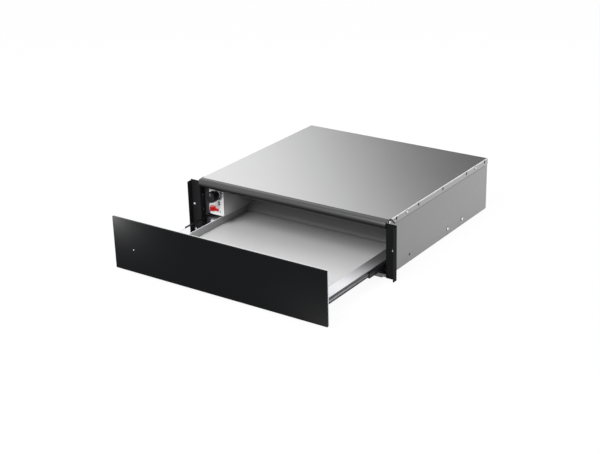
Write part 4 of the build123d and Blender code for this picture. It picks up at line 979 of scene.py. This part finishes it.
# ---- controls
def knob():
    """Ribbed temperature knob with a pale pointer bar."""
    low, high = corners("thermostat_knob")
    seat = Vector(((low.x + high.x) / 2, high.y, (low.z + high.z) / 2))
    reach = (high.y - low.y) / MM
    side = KNOB_RADIUS - RIB_PROUD
    rear = reach - KNOB_GRIP
    neck = [(0, 0), (KNOB_NECK_RADIUS, 0), (KNOB_NECK_RADIUS, rear - KNOB_NECK_FILLET),
            (KNOB_NECK_RADIUS + KNOB_NECK_FILLET, rear)]
    grip = [(side - inward, rear + forward) for inward, forward in KNOB_REAR_EDGE]
    grip += [(side - inward, reach - back) for inward, back in KNOB_FRONT_EDGE]
    body = turned("knob_body", neck + grip + [(0, reach - KNOB_DISH)], FINISHES["knob_black"], KNOB_SEGMENTS)
    rib = bar("rib", (RIB_WIDTH, RIB_WIDTH, KNOB_GRIP - RIB_REAR - RIB_FRONT), FINISHES["knob_black"],
              RIB_EDGE, (RIB_PROUD - RIB_WIDTH, -RIB_WIDTH / 2, rear + RIB_REAR))
    ribs = in_ring("knob_ribs", rib, KNOB_RIBS, 0, 360 - 360 / KNOB_RIBS, side)
    pointer = bar("pointer", (POINTER_WIDTH, POINTER_END - POINTER_START, POINTER_DEPTH), POINTER_WHITE,
                  SOFT_EDGE, (-POINTER_WIDTH / 2, POINTER_START, reach - POINTER_SINK))
    whole = joined("temperature_knob", [body, ribs, pointer])
    ridden(placed(whole, (0, -1, 0), seat), "knob", ("thermostat_knob",))


def heat_mark(name, strokes):
    """A row of short wavy strokes."""
    form = bmesh.new()
    for stroke in range(strokes):
        middle = (stroke - (strokes - 1) / 2) * MARK_PITCH
        rows = []
        for step in range(MARK_STEPS + 1):
            share = step / MARK_STEPS
            sway = middle + MARK_SWAY * math.sin(2 * math.pi * share)
            rows.append([form.verts.new(mm(sway + side * MARK_HALF_WIDTH, MARK_HEIGHT * (share - 0.5), rise))
                         for side in (-1, 1) for rise in (0.0, MARK_THICKNESS)])
        for below, above in zip(rows, rows[1:]):
            for first, second in ((0, 1), (1, 3), (3, 2), (2, 0)):
                form.faces.new((below[first], below[second], above[second], above[first]))
        for row in (rows[0], rows[-1]):
            form.faces.new((row[0], row[1], row[3], row[2]))
    return piece_from(form, name, PRINT_GREY, smooth=False)


def dial():
    """Bars printed round the knob, longer towards more heat, and small heat marks under them."""
    low, high = corners("thermostat_knob")
    plate = corners("control_plate")[0].y
    middle = Vector(((low.x + high.x) / 2, plate, (low.z + high.z) / 2))
    line = bar("line", (DIAL_SHORTEST, DIAL_BAR_WIDTH, DIAL_THICKNESS), PRINT_GREY,
               start=(0, -DIAL_BAR_WIDTH / 2, 0))
    bars = in_ring("dial_bars", line, DIAL_BARS, DIAL_FIRST, DIAL_LAST, DIAL_INSIDE, DIAL_GROWTH)
    ridden(placed(bars, (0, -1, 0), middle), "casing")
    for name, x, z, strokes in MARKS:
        mark = heat_mark(name, strokes)
        ridden(placed(mark, (0, -1, 0), Vector((x * MM, plate, z * MM))), "casing")


def rocker():
    """See-through red rocker, raised at one end and dished at the other, its edges softly rounded."""
    joint = next(joint for joint in frame["joints"] if joint["name"] == "rocker_tilt")
    pivot = Vector(joint["pos_m"])
    raised = [(-ROCKER_HALF, -ROCKER_REACH - ROCKER_LIFT),
              (-ROCKER_HALF * 0.4, -ROCKER_REACH - ROCKER_LIFT / 2)]
    dished = [(0, -ROCKER_REACH + ROCKER_DIP), (ROCKER_HALF / 2, -ROCKER_REACH + ROCKER_DIP * 0.75),
              (ROCKER_HALF, -ROCKER_REACH)]
    behind = [(ROCKER_WAIST, 0), (ROCKER_HEEL, ROCKER_HEEL_DEPTH), (-ROCKER_HEEL, ROCKER_HEEL_DEPTH),
              (-ROCKER_WAIST, 0)]
    outline = raised + dished + behind
    form = bmesh.new()
    under = [form.verts.new(mm(x, y, -ROCKER_HALF_HEIGHT)) for x, y in outline]
    over = [form.verts.new(mm(x, y, ROCKER_HALF_HEIGHT)) for x, y in outline]
    add_prism(form, under, over)
    bmesh.ops.recalc_face_normals(form, faces=form.faces)
    sharp = [edge for edge in form.edges if edge.calc_face_angle(0) > ROCKER_SHARP]
    bmesh.ops.bevel(form, geom=sharp, offset=ROCKER_EDGE * MM, segments=ROCKER_EDGE_STEPS, profile=0.5,
                    affect="EDGES")
    piece = piece_from(form, "red_rocker", FINISHES["rocker_red"])
    piece.data.transform(Matrix.Translation(pivot) @ Matrix.Rotation(math.radians(ROCKER_TILT), 4, "Z"))
    ridden(piece, "rocker", ("switch_rocker",))


# ---- floor, light and camera
def stage_floor():
    """White paper floor that keeps a faint shadow of the object."""
    form = bmesh.new()
    bmesh.ops.create_grid(form, x_segments=4, y_segments=4, size=FLOOR_HALF)
    bmesh.ops.translate(form, vec=(0, 0, -FLOOR_DROP), verts=form.verts)
    paper = Finish("floor_paper", Roughness=0.9, Specular_IOR_Level=0.1)
    mottle = paper.noise(3.0, 2.0)
    paper.set("Base Color", paper.blend(mottle, (0.90, 0.90, 0.90), (0.92, 0.92, 0.92)))
    paper.relief(mottle, 0.0005)
    seen = paper.ray("Camera").most(paper.ray("Glossy")).most(paper.ray("Transmission"))
    glow = paper.node("ShaderNodeEmission", inputs={"Color": (1.0, 1.0, 1.0, 1.0), "Strength": 1.0})
    both = paper.node("ShaderNodeMixShader", inputs={0: seen * FLOOR_GLOW, 1: paper.surface, 2: glow})
    paper.tree.links.new(both.socket, paper.end.inputs["Surface"])
    piece_from(form, "studio_floor", paper.material, smooth=False)


def surround():
    """White where the camera looks, with a soft dark card behind the object for its sheet to mirror."""
    world = bpy.data.worlds.new("studio_surround")
    bpy.context.scene.world = world
    world.use_nodes = True
    air = Tree(world.node_tree)
    towards = air.node("ShaderNodeTexCoord", output="Generated")
    facing = air.node("ShaderNodeVectorMath", {"operation": "DOT_PRODUCT"}, {0: towards, 1: CARD}, "Value")
    card = air.between(facing, *CARD_EDGE, CARD_BRIGHT, CARD_DARK, smooth=True)
    above = air.node("ShaderNodeSeparateXYZ", inputs={"Vector": towards}, output="Z")
    sky = air.between(above, 0.0, 1.0, SKY_FOOT, SKY_TOP)
    mirrored = air.ray("Glossy").most(air.ray("Transmission"))
    camera = air.ray("Camera")
    strength = camera + (1.0 - camera) * (mirrored * card + (1.0 - mirrored) * sky)
    light = air.node("ShaderNodeBackground", inputs={"Color": (1.0, 1.0, 1.0, 1.0), "Strength": strength})
    air.node("ShaderNodeOutputWorld", inputs={"Surface": light}, output=None)


def softbox(name, place, aim, size, power):
    """A rectangular area light turned towards a point."""
    lamp = bpy.data.lights.new(name, "AREA")
    lamp.shape = "RECTANGLE"
    lamp.size, lamp.size_y = size
    lamp.energy = power
    box = added(name, lamp)
    box.location = place
    box.rotation_euler = (Vector(aim) - Vector(place)).to_track_quat("-Z", "Y").to_euler()


def photo_camera():
    """Camera where the photograph was taken from."""
    yaw, roll = math.radians(CAMERA_YAW), math.radians(CAMERA_ROLL)
    towards = heading(CAMERA_YAW, -CAMERA_PITCH)
    level = Vector((math.cos(yaw), math.sin(yaw), 0.0))
    upright = level.cross(towards)
    right = math.cos(roll) * level + math.sin(roll) * upright
    up = math.cos(roll) * upright - math.sin(roll) * level
    lens = bpy.data.cameras.new("photo_camera")
    lens.sensor_width = 36.0
    lens.lens = CAMERA_LENS
    lens.clip_end = 30.0
    camera = added("photo_camera", lens)
    turn = Matrix((right, up, -towards)).transposed().to_4x4()
    camera.matrix_world = Matrix.Translation(mm(*CAMERA_PLACE)) @ turn
    bpy.context.scene.camera = camera


dress_frame()
fasteners("cover_screws", "casing", CASING_SCREW, seed=3)
fasteners("bracket_screws", "casing", CASING_SCREW, seed=5)
fasteners("side_rivets", "casing", RIVET, seed=7)
fasteners("drawer_screws", "drawer", DRAWER_SCREW, seed=9, seat=False)
slot_painted_shade_strips()
hole_plugs()
rear_screws(seed=11)
mitre_shade_lines()
flange_eyelets()
ledge_beads()
tray_heel()
knob()
dial()
rocker()

stage_floor()
surround()
softbox("key_light", place=(-0.3, -2.2, 2.4), aim=(0, 0, 0), size=(1.8, 1.8), power=75.0)
softbox("side_light", place=(2.5, 1.1, 1.6), aim=(0.1, 0.25, 0), size=(1.4, 1.6), power=20.0)
photo_camera()
bpy.context.scene.view_settings.view_transform = "Standard"
